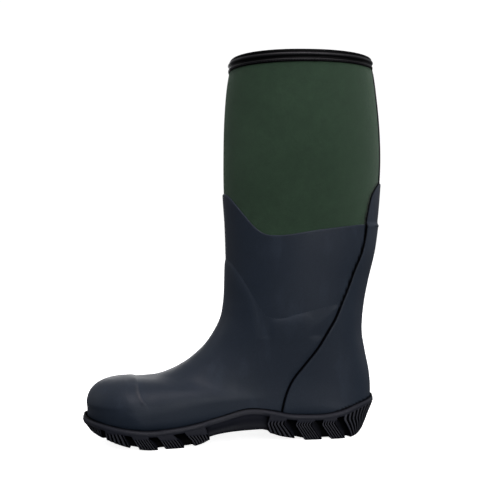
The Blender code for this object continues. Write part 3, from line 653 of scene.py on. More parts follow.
def brushed_steel(name):
    mat, nodes, links, shader = new_material(name)
    place = object_coordinates(nodes)
    brush = noise(nodes, links, place, 300.0, 4.0, (0.05, 1.0, 1.0))
    links.new(ramp(nodes, links, brush, [(0.3, (0.36, 0.36, 0.38)), (0.7, (0.55, 0.55, 0.57))]),
              shader.inputs["Base Color"])
    links.new(map_range(nodes, links, brush, 0.3, 0.7, 0.28, 0.45), shader.inputs["Roughness"])
    shader.inputs["Metallic"].default_value = 1.0
    bumps(nodes, links, shader, (brush, 0.4, 0.00005))
    return mat


NAVY = rubber("navy_rubber", (0.0118, 0.0180, 0.0290), (0.0142, 0.0212, 0.0335), 0.48, 0.22)
SOLE_BLACK = rubber("outsole_rubber", (0.0078, 0.0090, 0.0145), (0.0100, 0.0112, 0.0180), 0.48,
                    0.18)
BLACK = rubber("binding_rubber", (0.0050, 0.0048, 0.0062), (0.0065, 0.0062, 0.0078), 0.40, 0.30,
               bloom=0.2)
GREEN = knit("green_neoprene", (0.0225, 0.0455, 0.0262), (0.0285, 0.0555, 0.0325), 0.0014, 0.85,
             0.30)
LINING_KNIT = knit("mesh_lining", (0.030, 0.030, 0.034), (0.045, 0.045, 0.050), 0.0022, 0.88, 0.08)
TAPE_WEAVE = plain_fabric("seam_tape", (0.003, 0.003, 0.004), (0.008, 0.008, 0.010))
THREAD = plain_fabric("sewing_thread", (0.010, 0.010, 0.012), (0.024, 0.024, 0.028), 2500.0, 0.7)
BOARD = plain_fabric("fibre_board", (0.20, 0.15, 0.09), (0.32, 0.25, 0.16))
FOAM = plain_fabric("footbed_foam", (0.020, 0.020, 0.024), (0.036, 0.036, 0.042), 1400.0)
FELT = plain_fabric("felt", (0.055, 0.055, 0.060), (0.105, 0.105, 0.112))
STEEL = brushed_steel("shank_steel")


# ---------------------------------------------------------------- the upper

ROLLED_EDGE = [(0.0, 0.55), (0.25, 0.95), (0.65, 1.20), (1.3, 1.30)]
THIN_EDGE = [(0.0, 0.05), (0.8, 0.35), (2.0, 0.80), (4.0, 1.10), (7.0, 1.30)]
COUNTER_EDGE = [(0.0, 0.7), (0.35, 1.35), (0.9, 1.70), (1.7, 1.80)]
CAP_EDGE = [(0.0, 0.45), (3.0, 0.80), (8.0, 1.50), (14.0, 2.10)]
SHELL_TOP = curve_points(LEG_TOP[1:-1])
COUNTER_LINE = curve_points(COUNTER_FRONT, 5)
COUNTER_DROP = 1.4           # the strip lies this much lower where the leg shell ends under it
PAINTED_SHADE_WIDTH = 1.9             # width of the painted shade line along the counter's front edge


def above_shell(x, z):
    return z - np.interp(x, SHELL_TOP[:, 0], SHELL_TOP[:, 1])


def counter_lift(x, z):
    """The counter steps down onto the neoprene above the leg shell's top edge."""
    return -COUNTER_DROP * smoothstep(-1.2, 0.6, above_shell(x, z))


def counter_step(inside, x, z):
    """Raised lip where the strip climbs onto the leg shell."""
    return 0.55 * np.exp(-((above_shell(x, z) + 2.0) / 1.3) ** 2) * smoothstep(0, 1.5, inside)


def beside_counter(inside, x, z):
    """Painted shade along the counter's front edge, on the pieces that it lies on, and in the joint
    at the sole.
    """
    apart = distance_to_line(x, z, COUNTER_LINE)
    line = 1.0 - smoothstep(PAINTED_SHADE_WIDTH * 0.6, PAINTED_SHADE_WIDTH * 1.3, apart)
    return np.maximum(line, near_sole(x, z))


# Painted shade along the counter's own front edge and in the joint at the sole.
def counter_rim(inside, x, z):
    return np.maximum(1.0 - smoothstep(0.15, 0.7, inside), near_sole(x, z))


def cap_shade_and_highlight(inside, x, z):
    """Painted shade in the joint at the sole, and a painted highlight on the crest."""
    spot = np.exp(-((inside - 2.4) / 1.8) ** 2 - ((z - 51) / 6.0) ** 2)
    return near_sole(x, z) - 0.8 * spot


def cap_feather(x, z):
    """The cap's back edge fades out low on the sides."""
    return 0.35 + 0.65 * smoothstep(36, 46, z)


def vamp_edge_fade(x, z):
    """The vamp's top edge sinks almost flush on the slope and towards the counter."""
    slope = smoothstep(4, 20, x) * smoothstep(38, 28, x)
    behind = smoothstep(56, 76, x) * smoothstep(106, 95, x)
    return 1.0 - 0.86 * (slope + behind) * smoothstep(100, 110, z)


def cap_crest(inside, x, z):
    """Short crisp crest on the cap's back edge, above the ball of the foot, and its step on top."""
    low = smoothstep(41, 46, z) * smoothstep(61, 55, z)
    crest = 0.8 * np.exp(-((inside - 2.2) / 1.5) ** 2) * low
    step = 0.8 * smoothstep(60, 65, z) * smoothstep(0.0, 3.5, inside) * smoothstep(16, 5, inside)
    return crest + step


def build_upper():
    pieces = {}
    pieces["neoprene_shaft"] = tube_skin("neoprene_shaft_skin", (0.0, 9.4), 2.4, 190, NEOPRENE,
                                         GREEN, beside_counter)
    pieces["shaft_lining"] = tube_skin("shaft_lining_skin", (0.0, 8.6), 5.0, 84, LINING,
                                       LINING_KNIT)
    pieces["foot_lining"] = tube_skin("foot_lining_skin", (8.62, TIP - 0.05), 5.0, 84, LINING,
                                      LINING_KNIT)
    pieces["leg_shell"] = skin("leg_shell_skin", (3.6, TIP - 0.2), 2.1, 190, LEG_RUBBER,
                               leg_outline(), ROLLED_EDGE, NAVY, painted_shading=beside_counter)
    pieces["vamp"] = skin("vamp_skin", (5.6, TIP), 1.9, 220, (LEG_RUBBER[1], VAMP_RUBBER[1]),
                          vamp_outline(), THIN_EDGE, NAVY, painted_shading=beside_counter,
                          soften=vamp_edge_fade)
    pieces["heel_counter"] = skin("heel_counter_skin", (3.6, 17.0), 2.2, 180, COUNTER_RUBBER,
                                  counter_outline(), COUNTER_EDGE, NAVY, counter_step,
                                  lift=counter_lift, painted_shading=counter_rim)
    pieces["toe_cap"] = skin("toe_cap_skin", (13.5, TIP), 2.0, 170,
                             (CAP_RUBBER[1] - 2.1, CAP_RUBBER[1]), cap_outline(), CAP_EDGE, NAVY,
                             cap_crest, painted_shading=cap_shade_and_highlight, soften=cap_feather)
    for node, piece in pieces.items():
        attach(piece, "boot")
        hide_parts(node)


def rim_point(angle, offset, depth):
    """Point near the rim: depth is measured down from it, and above it when negative."""
    per_row = 26.0
    below = layer_point(np.maximum(depth, 0) / per_row, angle, offset)
    up = surface(0.0, angle) - surface(0.05, angle)
    up /= np.linalg.norm(up, axis=-1, keepdims=True)
    return below + up * np.maximum(-np.asarray(depth), 0)[..., None]


# Cross-section of the binding from its lower edge over the rim: distance out, depth, 1 where shade
# is painted (darker and less glossy), down to 0 on the ridges.
BINDING_SECTION = [
    (0.1, 10.2, 1), (0.6, 10.25, 1), (1.0, 10.0, 1), (1.2, 9.3, 1), (1.1, 8.6, 1), (1.5, 8.2, 0.2),
    (1.65, 7.8, 0), (1.5, 7.3, 0.5), (1.2, 6.9, 1), (1.2, 5.6, 1), (1.35, 4.7, 1), (2.0, 4.2, 0.5),
    (2.6, 3.6, 0), (2.9, 2.9, 0), (2.85, 2.1, 0), (2.4, 1.5, 0.4), (1.9, 1.2, 1), (1.8, 0.6, 1),
    (1.9, -0.2, 1), (1.8, -1.0, 1), (1.2, -1.8, 1), (0.2, -2.4, 1), (-1.4, -2.7, 1),
    (-3.2, -2.8, 1), (-5.2, -2.45, 1), (-6.8, -1.7, 1), (-7.8, -0.6, 1), (-8.2, 1.0, 1),
    (-8.15, 3.5, 1), (-7.7, 5.0, 1), (-7.7, 9.4, 1), (-7.3, 10.0, 1), (-6.5, 10.0, 1),
    (-6.5, 0.2, 1), (-6.0, -0.3, 1), (0.0, -0.3, 1), (0.1, 0.2, 1)]
COLLAR_STITCHES = (1.15, 8.9)  # distance out, depth
STITCH_PITCH = 3.0
THREAD_RADIUS = 0.38


def build_binding():
    columns = 260
    section = np.array(BINDING_SECTION)
    angles = even_angles(0.0, columns)[0][:-1]
    angle, offset = np.meshgrid(angles, section[:, 0], indexing="ij")
    depth = np.broadcast_to(section[:, 1], angle.shape)
    verts = rim_point(angle, offset, depth).reshape(-1, 3)
    count = len(section)
    faces = []
    for c in range(len(angles)):
        a, b = c * count, (c + 1) % len(angles) * count
        for k in range(count):
            n = (k + 1) % count
            faces.append((a + k, b + k, b + n, a + n))
    binding = mesh_object("collar_binding_skin", verts, faces, BLACK, sharp=60,
                          painted_shading=np.tile(section[:, 2], len(angles)))
    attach(binding, "boot")
    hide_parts("collar_binding")
    out, depth = map(np.array, COLLAR_STITCHES)
    path = [rim_point(np.array(a), out, depth) for a in even_angles(0.0, 900)[0][:-1]]
    stitches = stitch_line("collar_stitching", path, closed=True)
    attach(stitches, "boot")


def stitch_line(name, path, closed=False):
    """A row of short thread stitches, each a bowed capsule along a path of points."""
    path = np.array(path + [path[0]] if closed else path)
    length = np.concatenate([[0], np.cumsum(np.linalg.norm(np.diff(path, axis=0), axis=1))])
    total = max(1, int(length[-1] / STITCH_PITCH))
    verts, faces = [], []
    rings, sides = 7, 6
    for n in range(total):
        start, end = (n + 0.12) / total * length[-1], (n + 0.88) / total * length[-1]
        at = np.linspace(start, end, rings)
        middle = np.stack([np.interp(at, length, path[:, k]) for k in range(3)], -1)
        along = middle[-1] - middle[0]
        along /= np.linalg.norm(along)
        side = np.cross(along, (0, 0, 1.0) if abs(along[2]) < 0.7 else (0, 1.0, 0))
        side /= np.linalg.norm(side)
        up = np.cross(side, along)
        for r in range(rings):
            taper = math.sin(math.pi * (r + 0.35) / (rings - 0.3))
            for s in range(sides):
                turn = 2 * math.pi * s / sides
                round_it = side * math.cos(turn) + up * math.sin(turn)
                verts.append(middle[r] + THREAD_RADIUS * taper * round_it)
        base = n * rings * sides
        for r in range(rings - 1):
            for s in range(sides):
                t = (s + 1) % sides
                a = base + r * sides
                faces.append((a + s, a + t, a + sides + t, a + sides + s))
        faces.append(tuple(base + s for s in range(sides))[::-1])
        faces.append(tuple(base + (rings - 1) * sides + s for s in range(sides)))
    return mesh_object(name, verts, faces, THREAD)


def back_arc(row):
    """Millimetres per radian round the middle of the back."""
    return np.linalg.norm(surface(row, math.pi + 0.01) - surface(row, math.pi - 0.01)) / 0.02


def tape(name, node, rows, half_width, inner, thickness, finish):
    """Tape down the middle of the back, crowned, with rounded edges."""
    across = np.array([-1.0, -0.96, -0.8, -0.4, 0.0, 0.4, 0.8, 0.96, 1.0])
    rise = np.array([0.15, 0.55, 0.8, 0.95, 1.0, 0.95, 0.8, 0.55, 0.15])
    rows = spaced_rows(*rows, 3.0)
    verts, faces = [], []
    for row in rows:
        angles = math.pi + across * half_width / back_arc(row)
        verts += list(layer_point(row, angles, inner + thickness * rise))
        verts += list(layer_point(row, angles, np.full(len(across), inner)))
    width = 2 * len(across)
    loop = list(range(len(across))) + list(range(width - 1, len(across) - 1, -1))
    for r in range(len(rows) - 1):
        for k in range(width):
            a, b = loop[k], loop[(k + 1) % width]
            faces.append((r * width + a, r * width + b, (r + 1) * width + b, (r + 1) * width + a))
    for start in (0, (len(rows) - 1) * width):
        faces.append(tuple(start + k for k in loop))
    piece = mesh_object(name, verts, faces, finish)
    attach(piece, "boot")
    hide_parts(node)


BACK_STITCHES = 12.5         # from the middle of the back to each row


def build_tapes():
    tape("back_seam_tape_skin", "back_seam_tape", (0.42, 4.6), 16.5, 0.15, 1.0, TAPE_WEAVE)
    tape("inner_seam_tape_skin", "inner_seam_tape", (0.52, 8.4), 7.0, -6.5, -0.9, TAPE_WEAVE)
    for number, side in enumerate((-1, 1)):
        path = []
        for row in spaced_rows(0.55, 4.2, 1.0):
            angle = math.pi + side * BACK_STITCHES / back_arc(row)
            path.append(layer_point(np.array(row), np.array(angle), np.array(0.95)))
        line = stitch_line(f"back_stitching_{number}", path)
        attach(line, "boot")


# ---------------------------------------------------------------- the outsole

def lip_offset(x):
    return 3.6 + 1.9 * smoothstep(-84, -92, x) + 1.2 * smoothstep(34, 42, x)


def lip_height(x):
    return height(LIP, x)


def outline_ring(level, offset, columns):
    """Outline of the foot where it crosses level(x), as (x, y) from the heel by the medial side."""
    def crossing(row, angle):
        points = layer_point(row, angle, offset(surface(row, angle)[:, 0]))
        above = points[:, 2] - level(points[:, 0])
        hits = np.nonzero((above[:-1] > 0) & (above[1:] <= 0))[0]
        if not len(hits):
            return []
        k = hits[-1]
        t = above[k] / (above[k] - above[k + 1])
        return [(points[k] + (points[k + 1] - points[k]) * t)[:2]]

    angles = np.linspace(0, math.pi, 241)
    rows = np.concatenate([np.linspace(11.5, BALL, 150), np.linspace(BALL + 0.02, TIP - 0.02, 60)])
    medial = [p for row in rows for p in crossing(row, angles)]
    lateral = [p for row in rows for p in crossing(row, -angles)]
    heel = crossing(np.linspace(10, 14, 81), math.pi)
    toe = crossing(np.linspace(BALL + 1, TIP - 0.01, 81), 0.0)
    loop = np.array(heel + medial + toe + lateral[::-1] + heel)
    length = np.concatenate([[0], np.cumsum(np.linalg.norm(np.diff(loop, axis=0), axis=1))])
    at = np.linspace(0, length[-1], columns, endpoint=False)
    ring = np.stack([np.interp(at, length, loop[:, k]) for k in (0, 1)], -1)
    for _ in range(3):
        ring = (np.roll(ring, 1, axis=0) + 2 * ring + np.roll(ring, -1, axis=0)) / 4
    return ring


def outward(ring):
    along = np.roll(ring, -2, axis=0) - np.roll(ring, 2, axis=0)
    normal = np.stack([along[:, 1], -along[:, 0]], -1)
    normal /= np.linalg.norm(normal, axis=1, keepdims=True)
    inward = np.sum(normal * (ring - ring.mean(axis=0)), axis=1).sum() < 0
    return -normal if inward else normal


def undercut(x):
    """How far the tread lies inside the lip at the two ends of the sole."""
    return HEEL_UNDERCUT * smoothstep(105, 146, x) + TOE_UNDERCUT * smoothstep(-135, -160, x)


def lug_proud(x):
    return LUG_PROUD - 2.0 * (smoothstep(110, 140, x) + smoothstep(-128, -152, x))


def shank_zone(x):
    """1 along the arch, where the wall is smooth and bare of lugs."""
    return smoothstep(-44, -34, x) * smoothstep(30, 20, x)


class Edge:
    """The lip line, addressed by arc length from the heel's middle; the medial side comes first."""

    def __init__(self):
        self.ring = outline_ring(lip_height, lip_offset, 440)
        self.normals = outward(self.ring)
        closed = np.vstack([self.ring, self.ring[:1]])
        self.arc = np.concatenate([[0], np.cumsum(np.linalg.norm(np.diff(closed, axis=0), axis=1))])
        self.total = self.arc[-1]
        self.toe = self.arc[np.argmin(self.ring[:, 0])]

    def at(self, arc):
        arc = np.mod(arc, self.total)
        columns = [np.interp(arc, self.arc, np.append(values, values[0]))
                   for values in (*self.ring.T, *self.normals.T)]
        point, normal = np.stack(columns[:2], -1), np.stack(columns[2:], -1)
        return point, normal / np.linalg.norm(normal, axis=-1, keepdims=True)

    def arc_of(self, x, side):
        """Arc length where one side of the sole passes x."""
        medial = (self.arc[:-1] <= self.toe) if side < 0 else (self.arc[:-1] >= self.toe)
        xs, arcs = self.ring[medial, 0], self.arc[:-1][medial]
        order = np.argsort(xs)
        return np.interp(x, xs[order], arcs[order])


EDGE = Edge()


GAP_FLOOR = 1.9              # the wall between two lugs ends this far above the tread


def outsole_base():
    """The cup: floor, wall, rounded lip and the smooth band under it; and its painted shading
    marks.
    """
    ring, out = EDGE.ring, EDGE.normals
    x = ring[:, 0]
    arch = shank_zone(x)
    lip = height(LIP, x)
    band = (WALL + lug_proud(x) - 0.15) * (1 - arch) + 2.7 * arch
    draw = undercut(x)
    edge_x = x - out[:, 0] * draw
    web = height(WEB_BOTTOM, edge_x)
    web = np.minimum(web, web * arch + (height(GROUND, edge_x) + GAP_FLOOR) * (1 - arch))
    wall_top = lip - 7.2 - 1.5 * arch
    flat = 0 * x
    rows = [(-draw, height(WEB_BOTTOM, edge_x) + WEB_THICKNESS), (flat, lip - SKIRT),
            (flat, lip - 0.9), (flat + 0.2, lip - 0.2), (flat + 0.7, lip + 0.05),
            (flat + 1.3, lip - 0.1), (band * 0.5 + 0.1, lip - 0.8), (band - 0.9, lip - 1.5),
            (band - 0.3, lip - 2.3), (band - 0.05, lip - 3.4), (band - 0.05, lip - 5.4),
            (band - 0.3 - 0.2 * arch, lip - 6.0),
            (band - 0.9 + 0.3 * arch, lip - 6.35 - 0.5 * arch),
            (np.minimum(band - 1.0, WALL + 0.3), lip - 6.7 - 1.1 * arch), (WALL + flat, wall_top)]
    # Painted shading per row: shade on the lip's top and in the joint above it, a slightly lighter
    # band below it (painted highlight), shade on the wall between the lugs, less along the arch,
    # and under the sole.
    shade = [value + flat for value in (1, 1, 1, 1, 1, 0.9, 0.3, -0.06, -0.1, -0.1, -0.1, -0.08)]
    shade += [(1 - arch) * 0.6, 1 - arch, 1 - arch * 0.85]
    for share in (0.2, 0.4, 0.6, 0.75, 0.88):
        sag = 0.8 * math.sin(math.pi * share)
        rows.append((WALL - sag - draw * share, wall_top + (web + 1.6 - wall_top) * share))
        shade.append(1 - arch * (0.8 - 0.35 * share))
    rows += [(WALL - 0.5 - draw, web + 0.9), (WALL - 1.2 - draw, web + 0.3),
             (WALL - 2.3 - draw, web), (-6.0 - draw, web), (-12.0 - draw, web), (-20.0 - draw, web)]
    shade += [1 - arch * 0.5] * 3 + [0.4 + flat] * 3
    verts = []
    for offset, z in rows:
        xy = ring + out * np.asarray(offset)[:, None]
        verts.append(np.column_stack([xy, z]))
    for k in (-1, -2):
        verts[k][:, 2] = height(WEB_BOTTOM, verts[k][:, 0])
    count = len(ring)
    faces = []
    for r in range(len(rows) - 1):
        for c in range(count):
            n = (c + 1) % count
            faces.append((r * count + c, r * count + n, (r + 1) * count + n, (r + 1) * count + c))
    faces += ladder(0, count) + ladder(count * (len(rows) - 1), count)
    return np.vstack(verts), faces, np.concatenate(shade)


def ladder(ring_start, count):
    """Faces closing a ring straight across, from one side of the foot to the other."""
    faces = []
    for k in range(count // 2):
        a, b = ring_start + k, ring_start + k + 1
        c, d = ring_start + (count - k - 1) % count, ring_start + (count - k) % count
        faces.append((a, b, c) if k == 0 else (a, b, d) if k == count // 2 - 1 else (a, b, c, d))
    return faces


# Side lugs seen from the side: the line of the toe-ward edge and of the heel-ward edge, each from
# the band down to the tread as (x, z); how many ribs; and the height where the ribs start.
SIDE_LUGS = [
    ([(-140.2, 22.6), (-139.2, 17.3), (-138.5, 10)],
     [(-124.2, 19.5), (-120.5, 12.6), (-116.5, 4)], 5, 17.5),
    ([(-117.5, 18.6), (-112.5, 10.6), (-107.5, 2)],
     [(-101.3, 16.7), (-94.4, 6.9), (-89.5, 0)], 6, 12.0),
    ([(-92.9, 15.7), (-86.3, 7.3), (-81.0, 0)],
     [(-76.2, 16.4), (-67.0, 7.0), (-62.5, 0)], 6, 9.5),
    ([(-62.9, 15.0), (-55.5, 7.4), (-51.5, 1)],
     [(-41.3, 19.0), (-39.3, 14.0), (-35.5, 5)], 6, 12.5),
    ([(28.4, 26.7), (25.7, 18.0), (29.5, 8)],
     [(47.4, 25.1), (44.2, 17.9), (55.0, 4)], 5, 21.5),
    ([(59.8, 24.7), (55.7, 16.6), (66.5, 0)],
     [(79.1, 24.0), (73.1, 16.0), (84.5, 0)], 6, 19.5),
    ([(87.3, 23.8), (84.1, 15.8), (95.0, 0)],
     [(101.5, 24.3), (98.8, 16.5), (110.0, 0)], 5, 19.5),
]
HEEL_LUG_EDGE = [(108.6, 26.0), (107.4, 20.0), (118.0, 2.0)]
BACK_LUG_HALF = 12.0         # half width of the lug at the very back, along the sole's edge
TOE_LUG_HALF = 15.0
END_GAP = 3.0


def line_x(path, z):
    """x on a line of (x, z) points that runs downwards."""
    path = np.asarray(path, float)[::-1]
    return np.interp(z, path[:, 1], path[:, 0])


def lug_body(left, right, ribs, rib_top, depth, waves=0.0):
    """One lug as a closed body.

    left(z) and right(z) give its two edges as arc length along the sole's edge. Ribs are grooves in
    its face that follow the edges, below rib_top.
    """
    period = np.array([0.0, 0.36, 0.46, 0.90])
    shares = np.concatenate([[0.0], 0.02 + 0.96 * np.concatenate(
        [(n + period) / ribs for n in range(ribs)] + [[1.0]]), [1.0]])
    groove = np.concatenate([[0.0], np.tile([0.0, 0.0, 1.0, 1.0], ribs), [0.0], [0.0]])
    inset = np.zeros(len(shares))
    inset[[0, -1]] = 0.55
    downs = np.concatenate([np.linspace(0, 0.9, 17), [0.94]])
    top_z, low_z = 24.0, 4.0
    sections, shade = [], []
    for share, cut_in, pull in zip(shares, groove, inset):
        arc_top = left(top_z) + (right(top_z) - left(top_z)) * share
        arc_low = left(low_z) + (right(low_z) - left(low_z)) * share
        point, normal = EDGE.at(arc_top)
        z_top = float(height(LIP, point[0])) - 5.4
        foot, foot_normal = EDGE.at(arc_low)
        tread_x = foot[0] - foot_normal[0] * undercut(foot[0])
        z_low = float(height(GROUND, tread_x))
        section = [(*(point + normal * 0.9), z_top + 1.0)]
        marks = [1.0]
        flank = 1.0 if pull else 0.0
        for down in downs:
            z = z_top + (z_low - z_top) * down
            arc = left(z) + (right(z) - left(z)) * share
            spot, spot_normal = EDGE.at(arc)
            face = WALL + lug_proud(spot[0]) - 1.2 * down ** 2 - undercut(spot[0]) * down
            ribbed = smoothstep(rib_top, rib_top - 1.6, z)
            if waves:
                ribbed = ribbed * (0.5 + 0.5 * math.sin(waves * z + 5.0 * share))
            face -= 0.85 * cut_in * ribbed + pull
            section.append((*(spot + spot_normal * face), z))
            # Painted shading: shade in the rib grooves and on the lug's flanks; the rib tops
            # painted lighter, as wear and a painted highlight.
            worn = -0.1 - 0.45 * (1 - cut_in) * ribbed * (1 - flank)
            marks.append(float(max(cut_in * ribbed, flank * 0.6) or worn))
        edge, edge_normal = EDGE.at(left(z_low) + (right(z_low) - left(z_low)) * share)
        tread = WALL - 1.2 + lug_proud(edge[0]) - undercut(edge[0]) - pull
        for inward, rise in ((0.35 + 0.5 * cut_in, 0.35), (1.1, 0.0), (depth * 0.5, 0.0),
                             (depth - 1.0, 0.0), (depth, 0.8)):
            spot = edge + edge_normal * (tread - inward)
            section.append((*spot, float(height(GROUND, spot[0])) + rise))
            # half painted shade on the tread face
            marks.append(0.5)
        inner = edge + edge_normal * (tread - depth)
        section.append((*inner, float(height(WEB_BOTTOM, inner[0])) + 1.2))
        under = edge + edge_normal * (0.7 - undercut(edge[0]))
        section.append((*under, float(height(WEB_BOTTOM, under[0])) + 1.2))
        sections.append(section)
        # painted shade on the two inner points, under the sole
        shade += marks + [1.0, 1.0]
    return (*loft(sections), shade)


def loft(sections):
    count = len(sections[0])
    verts = [p for section in sections for p in section]
    faces = []
    for s in range(len(sections) - 1):
        a, b = s * count, (s + 1) * count
        for k in range(count):
            n = (k + 1) % count
            faces.append((a + k, b + k, b + n, a + n))
    for start in (0, count * (len(sections) - 1)):
        faces.append(tuple(range(start, start + count)))
    return verts, faces


def all_lugs():
    bodies = []
    for side in (-1, 1):
        for left, right, ribs, rib_top in SIDE_LUGS:
            bodies.append(lug_body(lambda z, p=left: EDGE.arc_of(line_x(p, z), side),
                                   lambda z, p=right: EDGE.arc_of(line_x(p, z), side),
                                   ribs, rib_top, LUG_DEPTH))
        heel_centre = 0.0 if side < 0 else EDGE.total
        heel_end = heel_centre - side * (BACK_LUG_HALF + END_GAP)
        bodies.append(lug_body(lambda z: EDGE.arc_of(line_x(HEEL_LUG_EDGE, z), side),
                               lambda z: heel_end - side * 3.0 * np.exp(-((z - 22) / 7) ** 2),
                               8, 34.0, 19.0))
        toe_end = EDGE.toe + side * (TOE_LUG_HALF + END_GAP)
        bodies.append(lug_body(lambda z: toe_end + 0.0 * z,
                               lambda z: EDGE.arc_of(-144.0 + 0.0 * z, side), 5, 21.0, 19.0, 1.6))
    bodies.append(lug_body(lambda z: -BACK_LUG_HALF + 0.0 * z, lambda z: BACK_LUG_HALF + 0.0 * z,
                           8, 32.0, 19.0))
    bodies.append(lug_body(lambda z: EDGE.toe - TOE_LUG_HALF + 0.0 * z,
                           lambda z: EDGE.toe + TOE_LUG_HALF + 0.0 * z, 10, 20.0, 19.0, 1.6))
    return bodies


FORE_CHEVRONS = [-138, -115, -88, -61]
HEEL_CHEVRONS = [52, 80.5, 105]
CHEVRON_RISE = 0.7


def chevron(x, direction):
    """V-shaped lug on the middle of the tread, with bevelled edges."""
    centre = SIDE_SHIFT + float(hermite(FOOT_PLAN[:, 0], FOOT_PLAN[:, 2], x))
    reach, sweep, thick = (17.0, 7.0, 9.0) if x < 0 else (8.0, 5.0, 9.0)
    sections = []
    for part in (-1, -0.96, -0.5, -0.06, 0, 0.06, 0.5, 0.96, 1):
        start = x + direction * sweep * abs(part)
        y = centre + part * reach
        end_in = 0.7 if abs(part) == 1 else 0.0
        section = []
        for along, rise in ((end_in + 0.8, 0.0), (thick - 0.8 - end_in, 0.0), (thick - end_in, 0.8),
                            (thick - end_in, None), (end_in, None), (end_in, 0.8)):
            at = start + along
            low = float(height(GROUND, at)) + CHEVRON_RISE + (rise or 0.0) + end_in * 0.6
            section.append((at, y, float(height(WEB_BOTTOM, at)) + 1.0 if rise is None else low))
        sections.append(section)
    # light painted shade all over the chevron, under the sole
    return (*loft(sections), [0.2] * (len(sections) * len(sections[0])))


def build_outsole():
    verts, faces, shade = outsole_base()
    verts, faces, shade = list(map(tuple, verts)), list(faces), list(shade)
    bodies = all_lugs()
    bodies += [chevron(x, -1) for x in FORE_CHEVRONS] + [chevron(x, 1) for x in HEEL_CHEVRONS]
    for lug_verts, lug_faces, lug_shade in bodies:
        start = len(verts)
        verts += lug_verts
        shade += lug_shade
        faces += [tuple(start + i for i in face) for face in lug_faces]
    sole = mesh_object("outsole_skin", verts, faces, SOLE_BLACK, sharp=32, painted_shading=shade)
    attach(sole, "boot")
    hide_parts("outsole")


# ---------------------------------------------------------------- the footbed

def build_footbed():
    """Foam footbed with a raised, rounded rim, and its fabric cover, over the CAD pieces."""
    for node, finish, slot in (("footbed", FOAM, "foam"), ("footbed_cover", FELT, "felt")):
        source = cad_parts[node]
        mesh = source.data.copy()
        mesh.name = node + "_skin"
        mesh.materials.clear()
        mesh.materials.append(finish)
        piece = bpy.data.objects.new(node + "_skin", mesh)
        bpy.context.scene.collection.objects.link(piece)
        bm = bmesh.new()
        bm.from_mesh(mesh)
        bmesh.ops.remove_doubles(bm, verts=bm.verts, dist=1e-6)
        bmesh.ops.dissolve_limit(bm, angle_limit=math.radians(1.0), verts=bm.verts, edges=bm.edges)
        rim = [e for e in bm.edges if e.is_manifold and e.calc_face_angle(0.0) > math.radians(50)]
        bmesh.ops.bevel(bm, geom=rim, offset=0.0004 if node == "footbed_cover" else 0.0012,
                        segments=3, affect="EDGES", profile=0.6)
        bmesh.ops.triangulate(bm, faces=bm.faces)
        bm.to_mesh(mesh)
        bm.free()
        mesh.shade_smooth()
        mesh.set_sharp_from_angle(angle=math.radians(40))
        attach(piece, "footbed_pad")
        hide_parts(node)


# ---------------------------------------------------------------- hidden pieces, stage, camera

def finish_hidden_nodes():
    looks = {"neoprene_foot": FELT, "toe_puff": BOARD, "heel_stiffener": BOARD, "midsole": FOAM,
             "insole_board": BOARD, "shank": STEEL, "thermal_underlay": FELT}
    for node, finish in looks.items():
        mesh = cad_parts[node].data
        mesh.materials.clear()
        mesh.materials.append(finish)


def area_light(name, place, target, size, power, colour=(1, 1, 1)):
    light = bpy.data.lights.new(name, "AREA")
    light.shape = "RECTANGLE"
    light.size, light.size_y = size
    light.energy = power
    light.color = colour
    lamp = bpy.data.objects.new(name, light)
    lamp.location = place
    lamp.rotation_euler = (Vector(target) - Vector(place)).to_track_quat("-Z", "Y").to_euler()
    bpy.context.scene.collection.objects.link(lamp)


FLOOR_GLOW = 0.88
FLOOR_HALF = 40.0
ROOM_LIGHT = [(0.0, (0.05, 0.05, 0.055)), (0.42, (0.11, 0.11, 0.115)), (0.52, (0.31, 0.32, 0.35)),
              (0.75, (0.45, 0.45, 0.47)), (1.0, (0.70, 0.68, 0.69))]


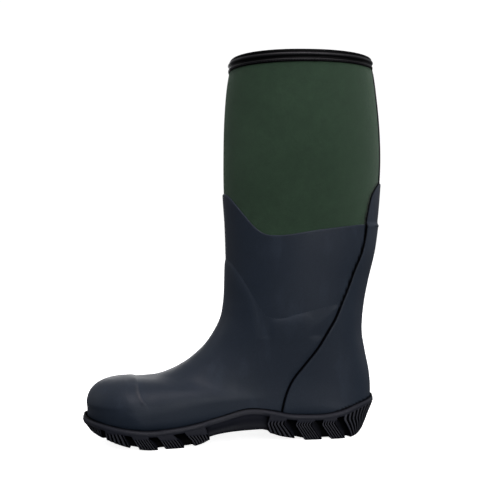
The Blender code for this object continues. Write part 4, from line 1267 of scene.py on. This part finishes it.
def build_stage():
    floor_finish, _, _, shader = new_material("white_paper")
    shader.inputs["Base Color"].default_value = (0.93, 0.93, 0.93, 1.0)
    shader.inputs["Roughness"].default_value = 0.9
    shader.inputs["Specular IOR Level"].default_value = 0.1
    shader.inputs["Emission Color"].default_value = (1.0, 1.0, 1.0, 1.0)
    shader.inputs["Emission Strength"].default_value = FLOOR_GLOW
    mesh = bpy.data.meshes.new("floor")
    corners = [(x * FLOOR_HALF, y * FLOOR_HALF, 0) for x, y in ((-1, -1), (1, -1), (1, 1), (-1, 1))]
    mesh.from_pydata(corners, [], [(0, 1, 2, 3)])
    mesh.materials.append(floor_finish)
    floor = bpy.data.objects.new("floor", mesh)
    floor.location.z = -0.0002
    floor.visible_diffuse = False
    floor.visible_glossy = False
    bpy.context.scene.collection.objects.link(floor)

    world = bpy.data.worlds.new("studio")
    world.use_nodes = True
    bpy.context.scene.world = world
    tree = world.node_tree
    seen = tree.nodes["Background"]
    seen.inputs["Color"].default_value = (1, 1, 1, 1)
    seen.inputs["Strength"].default_value = 1.05
    place = tree.nodes.new("ShaderNodeTexCoord")
    parts = tree.nodes.new("ShaderNodeSeparateXYZ")
    tree.links.new(place.outputs["Generated"], parts.inputs[0])
    level = map_range(tree.nodes, tree.links, parts.outputs["Z"], -1.0, 1.0, 0.0, 1.0)
    room = ramp(tree.nodes, tree.links, level, ROOM_LIGHT)
    ambient = tree.nodes.new("ShaderNodeBackground")
    tree.links.new(room, ambient.inputs["Color"])
    ambient.inputs["Strength"].default_value = 1.0
    rays = tree.nodes.new("ShaderNodeLightPath")
    choose = tree.nodes.new("ShaderNodeMixShader")
    tree.links.new(rays.outputs["Is Camera Ray"], choose.inputs[0])
    tree.links.new(ambient.outputs[0], choose.inputs[1])
    tree.links.new(seen.outputs[0], choose.inputs[2])
    tree.links.new(choose.outputs[0], tree.nodes["World Output"].inputs["Surface"])

    area_light("top_softbox", (0.15, -0.75, 1.40), (-0.02, 0.0, 0.1), (0.8, 0.8), 9.0,
               (1.0, 0.94, 0.99))
    area_light("left_softbox", (-1.6, 0.45, 0.90), (0.0, 0.0, 0.3), (0.8, 1.0), 2.0)
    area_light("right_softbox", (1.6, 0.10, 0.60), (0.05, 0.0, 0.2), (0.8, 1.2), 2.0)
    area_light("front_softbox", (0.9, -1.9, 0.55), (0.02, 0.0, 0.2), (1.3, 1.1), 15.0)
    area_light("back_softbox", (0.2, 2.0, 0.7), (0.0, 0.0, 0.2), (1.2, 0.9), 8.0)


CAMERA_PLACE = (-0.1588, -0.9341, 0.1993)
CAMERA_TURN = 10.5           # degrees off the square side view, towards the toe
CAMERA_LENS = 63.4


def build_camera():
    camera = bpy.data.cameras.new("camera")
    camera.lens = CAMERA_LENS
    camera.sensor_width = 36.0
    camera.clip_end = 200.0
    holder = bpy.data.objects.new("camera", camera)
    holder.location = CAMERA_PLACE
    holder.rotation_euler = (math.pi / 2, 0.0, -math.radians(CAMERA_TURN))
    bpy.context.scene.collection.objects.link(holder)
    bpy.context.scene.camera = holder
    bpy.context.scene.view_settings.view_transform = "Standard"


build_upper()
build_binding()
build_tapes()
build_outsole()
build_footbed()
finish_hidden_nodes()
build_stage()
build_camera()
